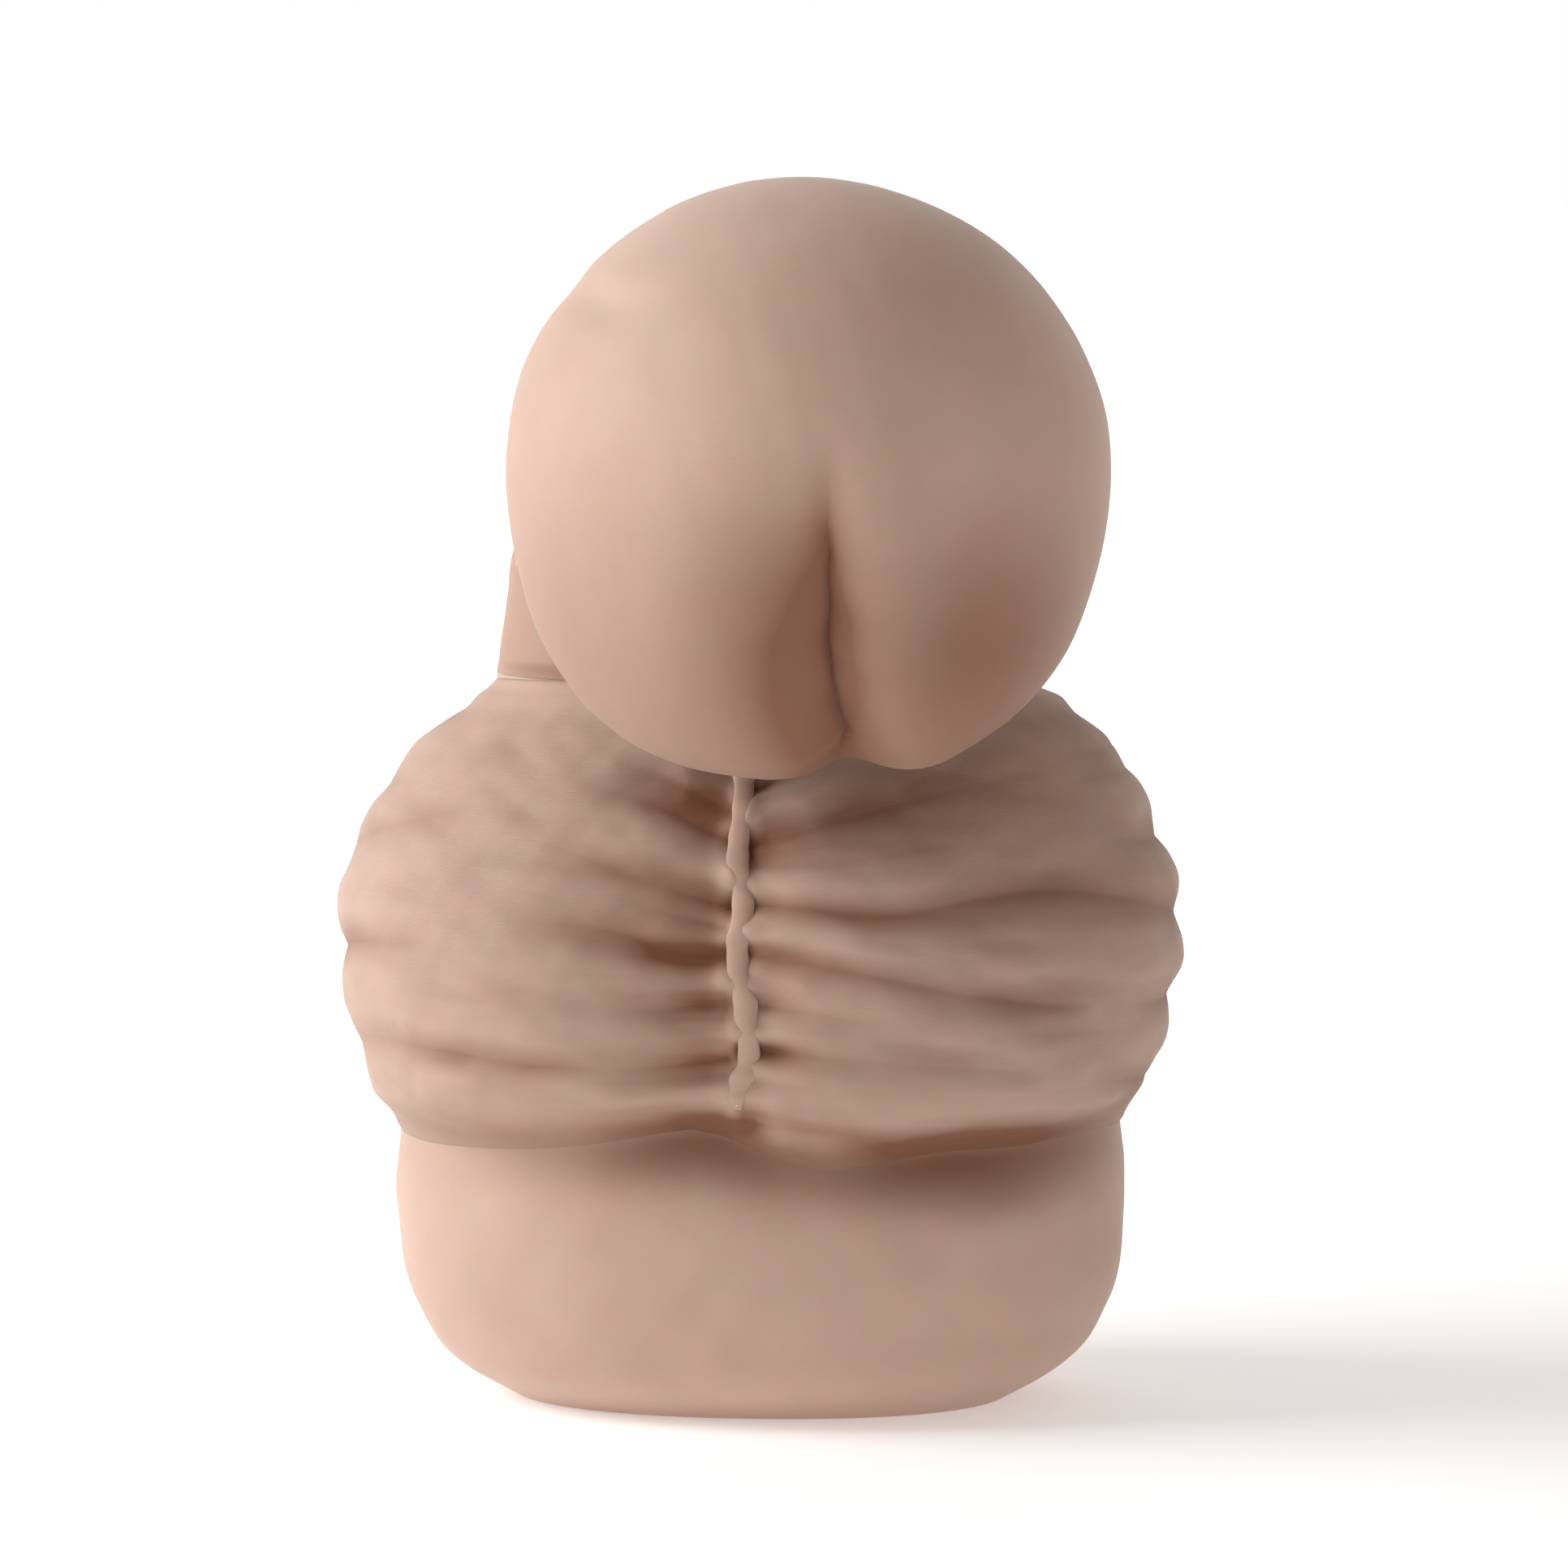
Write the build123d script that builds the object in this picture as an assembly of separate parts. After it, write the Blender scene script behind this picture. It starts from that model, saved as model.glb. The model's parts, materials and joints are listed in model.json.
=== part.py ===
"""Padded training mannequin: an armless torso and a bowed, faceless, cleft head on a neck that turns and nods.

Millimetres, +Z up, the chest faces -Y. The origin is the mouth of the stand socket, on the underside.
Three rigid bodies: the torso, the neck that turns on it, and the head that nods on the neck.
"""

import os
from functools import cache
from math import copysign, cos, hypot, pi, radians, sin, tan

from build123d import *

# ---- driving dimensions -------------------------------------------------------------------------
BODY_TOP = 345.0  # plane where the neck turns on the torso
NECK_GAP = 1.0  # between that plane and the neck
TORSO_EXPONENT = 2.25  # of the superellipse sections: 2 is an ellipse
SKIN = 5.0  # moulded skin of the torso
SOFT_SKIN = 4.0  # skin of the neck and head
COVER = 3.0  # gathered cover
FIT = 0.3  # between neighbouring soft pieces

# Torso skin: height, half breadth, depth in front of the axis, depth behind it.
SKIN_LEVELS = (
    (0.5, 122, 86, 80),
    (15, 145, 105, 97),
    (45, 165, 118, 109),
    (90, 174, 124, 114),
    (150, 171, 115, 110),
    (215, 164, 103, 105),
    (275, 152, 91, 99),
    (320, 134, 80, 89),
    (345, 125.5, 79, 80),
)
# Gathered cover over the chest pads: the same four figures.
COVER_LEVELS = (
    (112, 178, 126.5, 118),
    (150, 186, 151, 114.5),
    (190, 197, 161, 111.5),
    (240, 200, 156, 107.5),
    (290, 180, 126, 101),
    (320, 156, 98, 93.5),
    (338, 131.5, 83.5, 87.5),
)
COVER_LOW = 118.0
COVER_HIGH = 336.0
SIDE_SEAM = 40.0  # behind the axis, where the front panels meet the back panel
CASING_HALF = 5.0  # half width of the gathered strip down the chest
CASING_PROUD = 2.0
HEM_HEIGHT = 6.0
HEM_THICK = 4.5
TOP_HEM = (129.3, 79.9, 84.2)  # inside the band: half breadth, depth in front, depth behind
BOTTOM_HEM = (174.2, 122.6, 114.0)

# Neck: a column whose top is a dome about the nod axis, so that the head slides on it.
NOD_HEIGHT = 388.0
DOME_HALF = 120.0
DOME_RADIUS = 79.0
DOME_STEPS = (15, 30, 45, 60, 72, 80)  # degrees up the dome
NECK_FLARE = 5.5  # how much wider the column is at its foot
POCKET_GAP = 2.5  # between the dome and the head
THROAT_GAP = 4.0  # between the column and the head

# Head: turned from the chest's front at rest, towards +X.
HEAD_TURN = 13.0
HEAD_REACH = 137.0
HEAD_HEIGHT = 448.0
HEAD_RADIUS = 133.0
NAPE_REACH = 34.0
NAPE_HEIGHT = 392.0
NAPE_RADIUS = 120.0
CHIN_LEVEL = 352.0  # the nape ends here in front, above the chest
CHEST_CLEAR = (152.0, 116.0)  # half sizes of the space kept for the chest below that level
NAPE_RIM = 27.0  # degrees above the nod axis, where the nape ends behind
SKULL_RADIUS = 88.0
SKULL_WALL = 4.0

# Stand socket and spine
SOCKET_BORE = 25.9  # takes a post of 50.8 mm diameter
SOCKET_RADIUS = 30.0
SOCKET_DEPTH = 180.0
SOCKET_TOP = 186.0
FLANGE_RADIUS = 60.0
PLATE_HALF = (112.0, 74.0)
PLATE_THICK = 12.0
FLANGE_TOP = 18.0
SCREW_CIRCLE = 50.0
SCREW_COUNT = 6
SCREW_RADIUS = 3.0
NUT_FLATS = 10.0
SPINE_OUT = 21.2
SPINE_IN = 18.0
SPIGOT_HEIGHT = 20.0
SPINE_TOP = 336.0

# Neck bearing
SPINDLE_RADIUS = 8.0
BUSH_RADIUS = 10.0
HOUSING_FLANGE = 36.0
HOUSING_LOW = 308.0
YOKE_RADIUS = 34.0
CAVITY_RADIUS = 36.0  # in the neck foam
CAVITY_TOP = 420.0
EAR_IN = 11.0
EAR_OUT = 19.0
EAR_HALF = 17.0
PIN_RADIUS = 5.98
TONGUE_HALF = 10.0
TONGUE_HEIGHT = 12.0
EYE_RADIUS = 15.0
PLATE_NEAR = 84.0  # from the nod axis to the bracket's plate
PLATE_FAR = 90.0
BRACKET_HALF = 26.0
BOLT_OFFSET = 18.0

BIG = 900.0  # side of a box used to cut a form by a plane

# The head's own frame: X across the head, Y towards its back, its origin on the neck axis.
TURN = Location((0, 0, 0), (0, 0, HEAD_TURN))
NOD_AXIS = Location((0, 0, NOD_HEIGHT))
HEAD_PLACE = Location((0, -HEAD_REACH, HEAD_HEIGHT))
REACH_RISE = HEAD_HEIGHT - NOD_HEIGHT
REACH_LENGTH = hypot(HEAD_REACH, REACH_RISE)
# Looking from the nod axis to the middle of the head: local Z runs along that line, local X across.
REACH_FRAME = Plane(
    origin=(0, 0, NOD_HEIGHT),
    x_dir=(1, 0, 0),
    z_dir=(0, -HEAD_REACH / REACH_LENGTH, REACH_RISE / REACH_LENGTH),
)


# ---- shared forms -------------------------------------------------------------------------------
def section(z, half_breadth, front, back, exponent=TORSO_EXPONENT, points=16):
    """A horizontal superellipse whose front and back depths may differ."""
    outline = []
    for i in range(points):
        angle = 2 * pi * i / points
        across, along = cos(angle), sin(angle)
        depth = back if along > 0 else front
        x = half_breadth * copysign(abs(across) ** (2 / exponent), across)
        y = depth * copysign(abs(along) ** (2 / exponent), along)
        outline.append((x, y, z))
    return make_face(Spline(*outline, periodic=True))


@cache
def form(levels, grow=0.0):
    """A closed loft through the levels, each pushed outwards by grow."""
    return loft([section(z, a + grow, f + grow, b + grow) for z, a, f, b in levels])


def between(low, high):
    """Everything between two heights."""
    return Pos(0, 0, (low + high) / 2) * Box(BIG, BIG, high - low)


def ellipse_block(half_x, half_y, low, high):
    return Pos(0, 0, low) * extrude(Ellipse(half_x, half_y), high - low)


def tube(outer, inner, low, high):
    """A vertical ring about the Z axis."""
    ring = Cylinder(outer, high - low) - Cylinder(inner, high - low)
    return Pos(0, 0, (low + high) / 2) * ring


def disc(radius, low, high):
    return Pos(0, 0, (low + high) / 2) * Cylinder(radius, high - low)


def across_pin(radius, start, end):
    """A cylinder along X, from start to end, on the X axis."""
    return Pos((start + end) / 2, 0, 0) * Rot(0, 90, 0) * Cylinder(radius, end - start)


def hex_prism(flats, height):
    """A hexagonal prism standing on the origin."""
    return extrude(RegularPolygon(flats / 2, 6, major_radius=False), height)


# ---- torso: socket, plate and spine -------------------------------------------------------------
def screw_places():
    return [Rot(0, 0, 360 * i / SCREW_COUNT) * Pos(SCREW_CIRCLE, 0, 0) for i in range(SCREW_COUNT)]


def countersink(grow):
    """The cone of a screw's head, its wide end down."""
    return Pos(0, 0, 1.9) * Cone(5.7 + grow, SCREW_RADIUS + grow, 3)


def base_plate():
    plate = ellipse_block(*PLATE_HALF, 0, PLATE_THICK)
    plate = fillet(plate.edges(), 1.5)
    plate -= disc(SOCKET_RADIUS + FIT, -1, PLATE_THICK + 1)
    for place in screw_places():
        hole = disc(SCREW_RADIUS + FIT, -1, PLATE_THICK + 1)
        plate -= place * (hole + countersink(FIT) + disc(6.0, -1, 0.4))
    return plate


def base_screws():
    screw = countersink(0) + disc(SCREW_RADIUS, 3.3, 25)
    screw -= Pos(0, 0, 0.3) * hex_prism(4, 1.9)
    return Compound([place * screw for place in screw_places()])


def flange_nuts():
    nut = Pos(0, 0, FLANGE_TOP + 0.1) * hex_prism(NUT_FLATS, 5) - disc(SCREW_RADIUS + 0.05, 0, 40)
    return Compound([place * nut for place in screw_places()])


def post_socket():
    """A blind cup for the stand's post, with a bolted flange, ribs, and a spigot for the spine."""
    cup = disc(SOCKET_RADIUS, 0, SOCKET_TOP) + disc(FLANGE_RADIUS, PLATE_THICK, FLANGE_TOP)
    rib_outline = Polyline((28, FLANGE_TOP), (56, FLANGE_TOP), (28, 60), close=True)
    rib = extrude(Plane.XZ * make_face(rib_outline), 2, both=True)
    for i in range(SCREW_COUNT):
        cup += Rot(0, 0, 360 * (i + 0.5) / SCREW_COUNT) * rib
    cup += disc(SPINE_IN - 0.1, SOCKET_TOP, SOCKET_TOP + SPIGOT_HEIGHT)
    cup -= disc(SOCKET_BORE, -1, SOCKET_DEPTH)
    for place in screw_places():
        cup -= place * disc(SCREW_RADIUS + FIT, 0, 30)
    cup -= Pos(0, 0, SOCKET_TOP + 10) * across_pin(3, -40, 40)
    return cup


def spine_tube():
    spine = tube(SPINE_OUT, SPINE_IN, SOCKET_TOP, SPINE_TOP)
    return spine - Pos(0, 0, SOCKET_TOP + 10) * across_pin(3, -40, 40) - grub_screws(0.05)


def spine_pin():
    pin = across_pin(2.95, -23, 23)
    return Pos(0, 0, SOCKET_TOP + 10) * chamfer(pin.edges(), 0.6)


def grub_screws(grow=0.0):
    """Three radial screws that lock the bearing housing in the spine."""
    screw = Pos(0, 0, 326) * across_pin(2.5 + grow, 13, SPINE_OUT + 2 * grow)
    return Compound([Rot(0, 0, 30 + 120 * i) * screw for i in range(3)])


def bearing_housing():
    housing = disc(SPINE_IN - 0.1, HOUSING_LOW, SPINE_TOP) + disc(HOUSING_FLANGE, SPINE_TOP, 344)
    housing -= disc(BUSH_RADIUS + 0.05, 300, 350)
    return housing - grub_screws(0.05)


def upper_bush():
    return tube(BUSH_RADIUS, SPINDLE_RADIUS + 0.05, 330, 344) + tube(15, SPINDLE_RADIUS + 0.05, 344, 346)


def lower_bush():
    low = HOUSING_LOW - 2
    return tube(BUSH_RADIUS, SPINDLE_RADIUS + 0.05, low, 322) + tube(
        15, SPINDLE_RADIUS + 0.05, low, HOUSING_LOW
    )


# ---- torso: foam, skin, pads and cover ----------------------------------------------------------
def torso_foam():
    foam = form(SKIN_LEVELS, -SKIN - FIT) & between(SKIN + FIT + 0.5, BODY_TOP)
    foam -= ellipse_block(PLATE_HALF[0] + FIT, PLATE_HALF[1] + FIT, -1, PLATE_THICK + FIT)
    foam -= disc(FLANGE_RADIUS + 1, 0, 62)
    foam -= disc(SOCKET_RADIUS + FIT, 60, SOCKET_TOP + FIT)
    foam -= disc(SPINE_OUT + 2, SOCKET_TOP, SPINE_TOP)
    return foam - disc(HOUSING_FLANGE + 1, SPINE_TOP - FIT, BODY_TOP + 1)


def torso_skin():
    skin = form(SKIN_LEVELS) - (form(SKIN_LEVELS, -SKIN) & between(SKIN + 0.5, BODY_TOP + 1))
    return skin - ellipse_block(PLATE_HALF[0] + FIT, PLATE_HALF[1] + FIT, -1, SKIN + 1)


def front_side(sign, gap):
    """The front region on one side of the middle: sign is +1 for +X."""
    wide = BIG / 2
    return Pos(sign * (gap + wide / 2), SIDE_SEAM - wide / 2, BIG / 3) * Box(wide, wide, BIG)


def chest_pads():
    """The padding that fills the cover on each side of the chest."""
    filling = form(COVER_LEVELS, -COVER - FIT) & between(COVER_LOW + 4, COVER_HIGH - 4)
    sides = (("left", -1), ("right", 1))
    return {side: (filling & front_side(sign, 0.5)) - form(SKIN_LEVELS, FIT) for side, sign in sides}


def cover_shell(grow_out=0.0, grow_in=-COVER):
    shell = form(COVER_LEVELS, grow_out) & between(COVER_LOW, COVER_HIGH)
    return shell - form(COVER_LEVELS, grow_in)


def cover_panels():
    """Left, right and back panels, sewn at the sides and to the casing in front."""
    shell = cover_shell()
    back = Pos(0, SIDE_SEAM + 0.2 + BIG / 2, 0) * Box(BIG, BIG, BIG)
    return {
        "left": shell & front_side(-1, CASING_HALF + 0.1),
        "right": shell & front_side(1, CASING_HALF + 0.1),
        "back": shell & back,
    }


def casing_region(half_width, low, high):
    return Pos(0, -BIG / 4, (low + high) / 2) * Box(2 * half_width, BIG / 2, high - low)


def centre_casing():
    strip = cover_shell(CASING_PROUD) & casing_region(CASING_HALF, COVER_LOW + 2, COVER_HIGH - 1)
    channel = form(COVER_LEVELS, 0.6) - form(COVER_LEVELS, -1.4)
    return strip - (channel & casing_region(3.2, COVER_LOW + 5, COVER_HIGH))


def centre_elastic():
    tape = form(COVER_LEVELS, 0.4) - form(COVER_LEVELS, -1.0)
    return tape & casing_region(3.0, COVER_LOW + 6, COVER_HIGH - 1)


def ring(half_sizes, gap, thick, low, high):
    """A band round the torso, gap away from the sizes given and thick across."""
    outer = section(low, *[h + gap + thick for h in half_sizes])
    inner = section(low, *[h + gap for h in half_sizes])
    return extrude(outer, high - low, dir=(0, 0, 1)) - extrude(inner, high - low, dir=(0, 0, 1))


def hem(half_sizes, low):
    """A folded band round the torso, and the elastic inside it."""
    high = low + HEM_HEIGHT
    channel = ring(half_sizes, 1.4, 1.5, low + 1.1, high - 1.1)
    elastic = ring(half_sizes, 1.5, 1.3, low + 1.3, high - 1.3)
    return ring(half_sizes, 0, HEM_THICK, low, high) - channel, elastic


# ---- neck ---------------------------------------------------------------------------------------
def neck_form(inset=0.0):
    """The column and its dome, pulled in by inset."""
    low = BODY_TOP + NECK_GAP
    column = []
    for z in (low, (low + NOD_HEIGHT) / 2, NOD_HEIGHT):
        flare = NECK_FLARE * (NOD_HEIGHT - z) / (NOD_HEIGHT - BODY_TOP)
        column.append((z, DOME_HALF + flare - inset, DOME_RADIUS - inset))
    radius = DOME_RADIUS - inset
    dome = [
        (NOD_HEIGHT + radius * sin(radians(a)), (DOME_HALF - inset) * cos(radians(a)), radius * cos(radians(a)))
        for a in DOME_STEPS
    ]
    return loft([section(z, half, depth, depth, exponent=2) for z, half, depth in column + dome])


def tongue_slot(half_width):
    """The sector in front of the nod axis that the head's tongue sweeps as the head nods."""
    rays = [(-10, 120), (28, 150), (66, 120)]
    ends = [(-r * cos(radians(a)), NOD_HEIGHT + r * sin(radians(a))) for a, r in rays]
    outline = make_face(Polyline((0, NOD_HEIGHT), *ends, close=True))
    return extrude(Plane.YZ * outline, half_width, both=True)


def neck_foam():
    foam = neck_form(SOFT_SKIN + FIT) - disc(CAVITY_RADIUS, 300, CAVITY_TOP)
    return foam - tongue_slot(12.5)


def neck_skin():
    skin = neck_form() - neck_form(SOFT_SKIN)
    return skin - tongue_slot(12.5)


def stop_lug():
    """A block whose slanted top meets the underside of the head's tongue, 0.2 mm below it at rest."""
    block = Pos(0, -24.5, (353 + NOD_HEIGHT) / 2) * Box(2 * TONGUE_HALF, 11, NOD_HEIGHT - 353)
    return block - REACH_FRAME * (Pos(0, BIG / 2 - TONGUE_HEIGHT - 0.2, 0) * Box(BIG, BIG, BIG))


def neck_yoke():
    """The turning spindle, its thrust disc, two ears that hold the nod pin, and the nod's stop."""
    thrust = BODY_TOP + NECK_GAP + 0.2
    yoke = disc(SPINDLE_RADIUS, 290, thrust + 1) + disc(YOKE_RADIUS, thrust, 354) + stop_lug()
    ear = Pos(0, 0, (353 + NOD_HEIGHT) / 2) * Box(EAR_OUT - EAR_IN, 2 * EAR_HALF, NOD_HEIGHT - 353)
    ear += NOD_AXIS * across_pin(EAR_HALF, -(EAR_OUT - EAR_IN) / 2, (EAR_OUT - EAR_IN) / 2)
    for side in (-1, 1):
        yoke += Pos(side * (EAR_IN + EAR_OUT) / 2, 0, 0) * ear
    return yoke - NOD_AXIS * across_pin(PIN_RADIUS + 0.04, -40, 40)


def spindle_washer():
    return tube(15, SPINDLE_RADIUS + 0.1, 303.2, 305.8)


def spindle_nut():
    return Pos(0, 0, 294) * hex_prism(24, 9) - disc(SPINDLE_RADIUS + 0.03, 280, 310)


def nod_pin():
    pin = across_pin(PIN_RADIUS, -EAR_OUT - 2, 29) + across_pin(9.5, -EAR_OUT - 6.1, -EAR_OUT - 0.1)
    socket = Pos(-EAR_OUT - 6.2, 0, 0) * Rot(0, 90, 0) * hex_prism(6, 3.5)
    return NOD_AXIS * (pin - socket)


def nod_nut():
    nut = Rot(0, 90, 0) * hex_prism(19, 7)
    return NOD_AXIS * (Pos(EAR_OUT + 0.1, 0, 0) * nut - across_pin(PIN_RADIUS + 0.03, 0, 40))


def friction_washers():
    ring = across_pin(16, 10.05, 10.95) - across_pin(6.1, 9, 12)
    return Compound([NOD_AXIS * ring, NOD_AXIS * Rot(0, 0, 180) * ring])


# ---- head ---------------------------------------------------------------------------------------
def head_form(inset=0.0):
    """The round head and its nape, open behind and below where the neck fills it."""
    nape = Pos(0, -NAPE_REACH, NAPE_HEIGHT) * Sphere(NAPE_RADIUS - inset)
    rim = tan(radians(NAPE_RIM)) * BIG
    below = Polyline((0, 0), (BIG, rim), (BIG, -BIG), (0, -BIG), close=True)
    nape -= Pos(0, 0, NOD_HEIGHT) * extrude(Plane.YZ * make_face(below), BIG, both=True)
    nape -= between(0, CHIN_LEVEL)
    return HEAD_PLACE * Sphere(HEAD_RADIUS - inset) + nape


def neck_space():
    """The room that the neck and the top of the chest take out of the head."""
    throat = ellipse_block(DOME_HALF + THROAT_GAP, DOME_RADIUS + THROAT_GAP, 250, NOD_HEIGHT)
    return neck_form(-POCKET_GAP) + throat + ellipse_block(*CHEST_CLEAR, 250, CHIN_LEVEL)


def reach_slab(half_width, near, far):
    """A square block on the line from the nod axis to the middle of the head."""
    return REACH_FRAME * (Pos(0, 0, (near + far) / 2) * Box(2 * half_width, 2 * half_width, far - near))


def beyond(distance):
    """Everything further than distance from the nod axis along that line."""
    return REACH_FRAME * (Pos(0, 0, distance + BIG / 2) * Box(BIG, BIG, BIG))


def bolt_places():
    signs = ((-1, -1), (-1, 1), (1, -1), (1, 1))
    return [REACH_FRAME * Pos(BOLT_OFFSET * x, BOLT_OFFSET * y, 0) for x, y in signs]


def bolt_holes(near, far):
    return Compound([place * disc(SCREW_RADIUS + FIT, near, far) for place in bolt_places()])


def head_bracket():
    """A tongue on the nod pin, and the plate that the skull is bolted to."""
    bar = REACH_FRAME * (
        Pos(0, 0, PLATE_NEAR / 2 + 1) * Box(2 * TONGUE_HALF, 2 * TONGUE_HEIGHT, PLATE_NEAR + 2)
    )
    bracket = NOD_AXIS * across_pin(EYE_RADIUS, -TONGUE_HALF, TONGUE_HALF) + bar
    bracket += reach_slab(BRACKET_HALF, PLATE_NEAR, PLATE_FAR)
    bracket -= NOD_AXIS * across_pin(PIN_RADIUS + 0.06, -40, 40)
    return bracket - bolt_holes(PLATE_NEAR - 1, PLATE_FAR + 1)


def bracket_bolts():
    bolt = disc(5, PLATE_NEAR - 3.5, PLATE_NEAR - 0.1) + disc(SCREW_RADIUS, PLATE_NEAR - 1, 104)
    bolt -= Pos(0, 0, PLATE_NEAR - 3.6) * hex_prism(4, 1.8)
    return Compound([place * bolt for place in bolt_places()])


def bracket_nuts():
    nut = Pos(0, 0, 96.4) * hex_prism(NUT_FLATS, 5) - disc(SCREW_RADIUS + 0.05, 90, 110)
    return Compound([place * nut for place in bolt_places()])


def skull_solid(grow=0.0):
    """The outside of the rigid skull, flat where the bracket seats."""
    return HEAD_PLACE * Sphere(SKULL_RADIUS + grow) & beyond(PLATE_FAR + 0.2 - grow)


def skull_halves():
    hollow = HEAD_PLACE * Sphere(SKULL_RADIUS - SKULL_WALL) & beyond(PLATE_FAR + 6.2)
    shell = skull_solid() - hollow - bolt_holes(85, 100)
    return shell & beyond(REACH_LENGTH + 0.1), shell - beyond(REACH_LENGTH - 0.1)


def head_foam():
    foam = head_form(SOFT_SKIN + FIT) - neck_space() - skull_solid(FIT)
    return foam - reach_slab(BRACKET_HALF + 1, PLATE_NEAR - 10, PLATE_FAR + 1)


def head_skin():
    return head_form() - head_form(SOFT_SKIN) - neck_space()


# ---- all parts ----------------------------------------------------------------------------------
def torso_parts():
    pads = chest_pads()
    panels = cover_panels()
    top_hem, top_elastic = hem(TOP_HEM, COVER_HIGH + 0.5)
    bottom_hem, bottom_elastic = hem(BOTTOM_HEM, COVER_LOW - HEM_HEIGHT - 0.5)
    return {
        "base_plate": base_plate(),
        "base_screws": base_screws(),
        "flange_nuts": flange_nuts(),
        "post_socket": post_socket(),
        "spine_tube": spine_tube(),
        "spine_pin": spine_pin(),
        "grub_screws": grub_screws(),
        "bearing_housing": bearing_housing(),
        "upper_bush": upper_bush(),
        "lower_bush": lower_bush(),
        "torso_foam": torso_foam(),
        "torso_skin": torso_skin(),
        "chest_pad_left": pads["left"],
        "chest_pad_right": pads["right"],
        "cover_panel_left": panels["left"],
        "cover_panel_right": panels["right"],
        "cover_panel_back": panels["back"],
        "centre_casing": centre_casing(),
        "centre_elastic": centre_elastic(),
        "top_hem": top_hem,
        "top_elastic": top_elastic,
        "bottom_hem": bottom_hem,
        "bottom_elastic": bottom_elastic,
    }


def neck_parts():
    return {
        "neck_yoke": neck_yoke(),
        "spindle_washer": spindle_washer(),
        "spindle_nut": spindle_nut(),
        "nod_pin": nod_pin(),
        "nod_nut": nod_nut(),
        "friction_washers": friction_washers(),
        "neck_foam": neck_foam(),
        "neck_skin": neck_skin(),
    }


def head_parts():
    skull_front, skull_rear = skull_halves()
    return {
        "head_bracket": head_bracket(),
        "bracket_bolts": bracket_bolts(),
        "bracket_nuts": bracket_nuts(),
        "skull_front": skull_front,
        "skull_rear": skull_rear,
        "head_foam": head_foam(),
        "head_skin": head_skin(),
    }


os.makedirs("parts", exist_ok=True)
for name, shape in torso_parts().items():
    export_step(shape, f"parts/{name}.step")
for name, shape in (neck_parts() | head_parts()).items():
    export_step(TURN * shape, f"parts/{name}.step")
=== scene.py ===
"""Visual model of the padded training mannequin: soft skins, a gathered chest cover, and the finishes of the rest.

Lengths in the tables are millimetres; every mesh is made in metres. The chest faces -Y and +Z is up.
An angle round the torso is in degrees from the front, positive towards +X.
"""

import json

import bmesh
import bpy
import numpy as np
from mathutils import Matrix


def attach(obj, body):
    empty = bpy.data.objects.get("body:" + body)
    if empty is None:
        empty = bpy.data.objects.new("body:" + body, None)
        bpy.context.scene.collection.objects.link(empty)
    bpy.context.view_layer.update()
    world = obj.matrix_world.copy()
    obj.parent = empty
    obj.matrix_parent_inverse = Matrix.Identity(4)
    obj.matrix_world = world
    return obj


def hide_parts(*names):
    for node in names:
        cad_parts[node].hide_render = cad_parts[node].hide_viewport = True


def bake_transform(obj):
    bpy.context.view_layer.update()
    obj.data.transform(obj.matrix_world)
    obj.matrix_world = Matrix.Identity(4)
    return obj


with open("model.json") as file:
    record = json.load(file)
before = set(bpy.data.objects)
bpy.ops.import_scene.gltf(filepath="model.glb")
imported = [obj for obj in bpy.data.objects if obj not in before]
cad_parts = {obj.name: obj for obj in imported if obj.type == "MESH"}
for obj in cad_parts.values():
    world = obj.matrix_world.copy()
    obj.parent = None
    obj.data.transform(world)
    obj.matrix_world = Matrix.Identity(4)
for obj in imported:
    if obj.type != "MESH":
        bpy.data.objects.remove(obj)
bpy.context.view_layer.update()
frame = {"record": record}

MM = 0.001

# ---- driving dimensions, as in the CAD model ----------------------------------------------------
BODY_TOP = 345.0
EXPONENT = 2.25
SKIN_WALL = 5.0
PLATE_HALF = (112.3, 74.3)
SKIN_LEVELS = (
    (0.5, 120, 80, 79),
    (15, 144, 102, 97),
    (45, 165, 118, 109),
    (90, 174, 124, 114),
    (150, 171, 115, 110),
    (215, 164, 103, 105),
    (275, 152, 91, 99),
    (320, 134, 80, 89),
    (345, 125.5, 79, 80),
)
COVER_LEVELS = (
    (112, 178, 126.5, 118),
    (150, 186, 151, 114.5),
    (190, 197, 161, 111.5),
    (240, 200, 156, 107.5),
    (290, 180, 126, 101),
    (320, 156, 98, 93.5),
    (338, 131.5, 83.5, 87.5),
)
FOAM_BORE = ((37.0, 345.0), (23.2, 335.7), (30.3, 186.3), (61.0, 62.0), (61.0, 12.5))  # radius, from what height
COVER_LOW = 120.0
COVER_HIGH = 337.0
COVER_THICK = 2.4
FOOT_BLEND = 60.0  # over how far the cover's rows stretch to its lower edge
TOP_BLEND = 26.0  # and to its upper edge
FOOT_CLOSES = 25.0  # over how far the cover closes onto the skin at its lower edge
TOP_CLOSES = 9.0  # and at its upper edge
TOP_HEM_DROP = 7.0  # how far the top hem's middle lies under the upper edge
FOOT_HEM_RISE = 11.0  # and the bottom hem's over the lower edge
PAD_GAP = 1.2
STRIP_HALF = (5.2, 2.4)
STRIP_TOP = 338.0
STRIP_LIFT = -0.6
BEAD_PITCH = 18.0
LOWER_EDGE = (
    (-180, 124), (-100, 125), (-75, 126), (-59, 126), (-44, 127), (-29, 131), (-16, 136), (-8, 137), (-2, 134),
    (4, 129), (9, 125), (16, 122), (26, 122), (33, 124.5), (42, 126.5), (55, 127.5), (66, 131), (76, 133),
    (90, 130), (110, 126), (180, 124),
)
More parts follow.
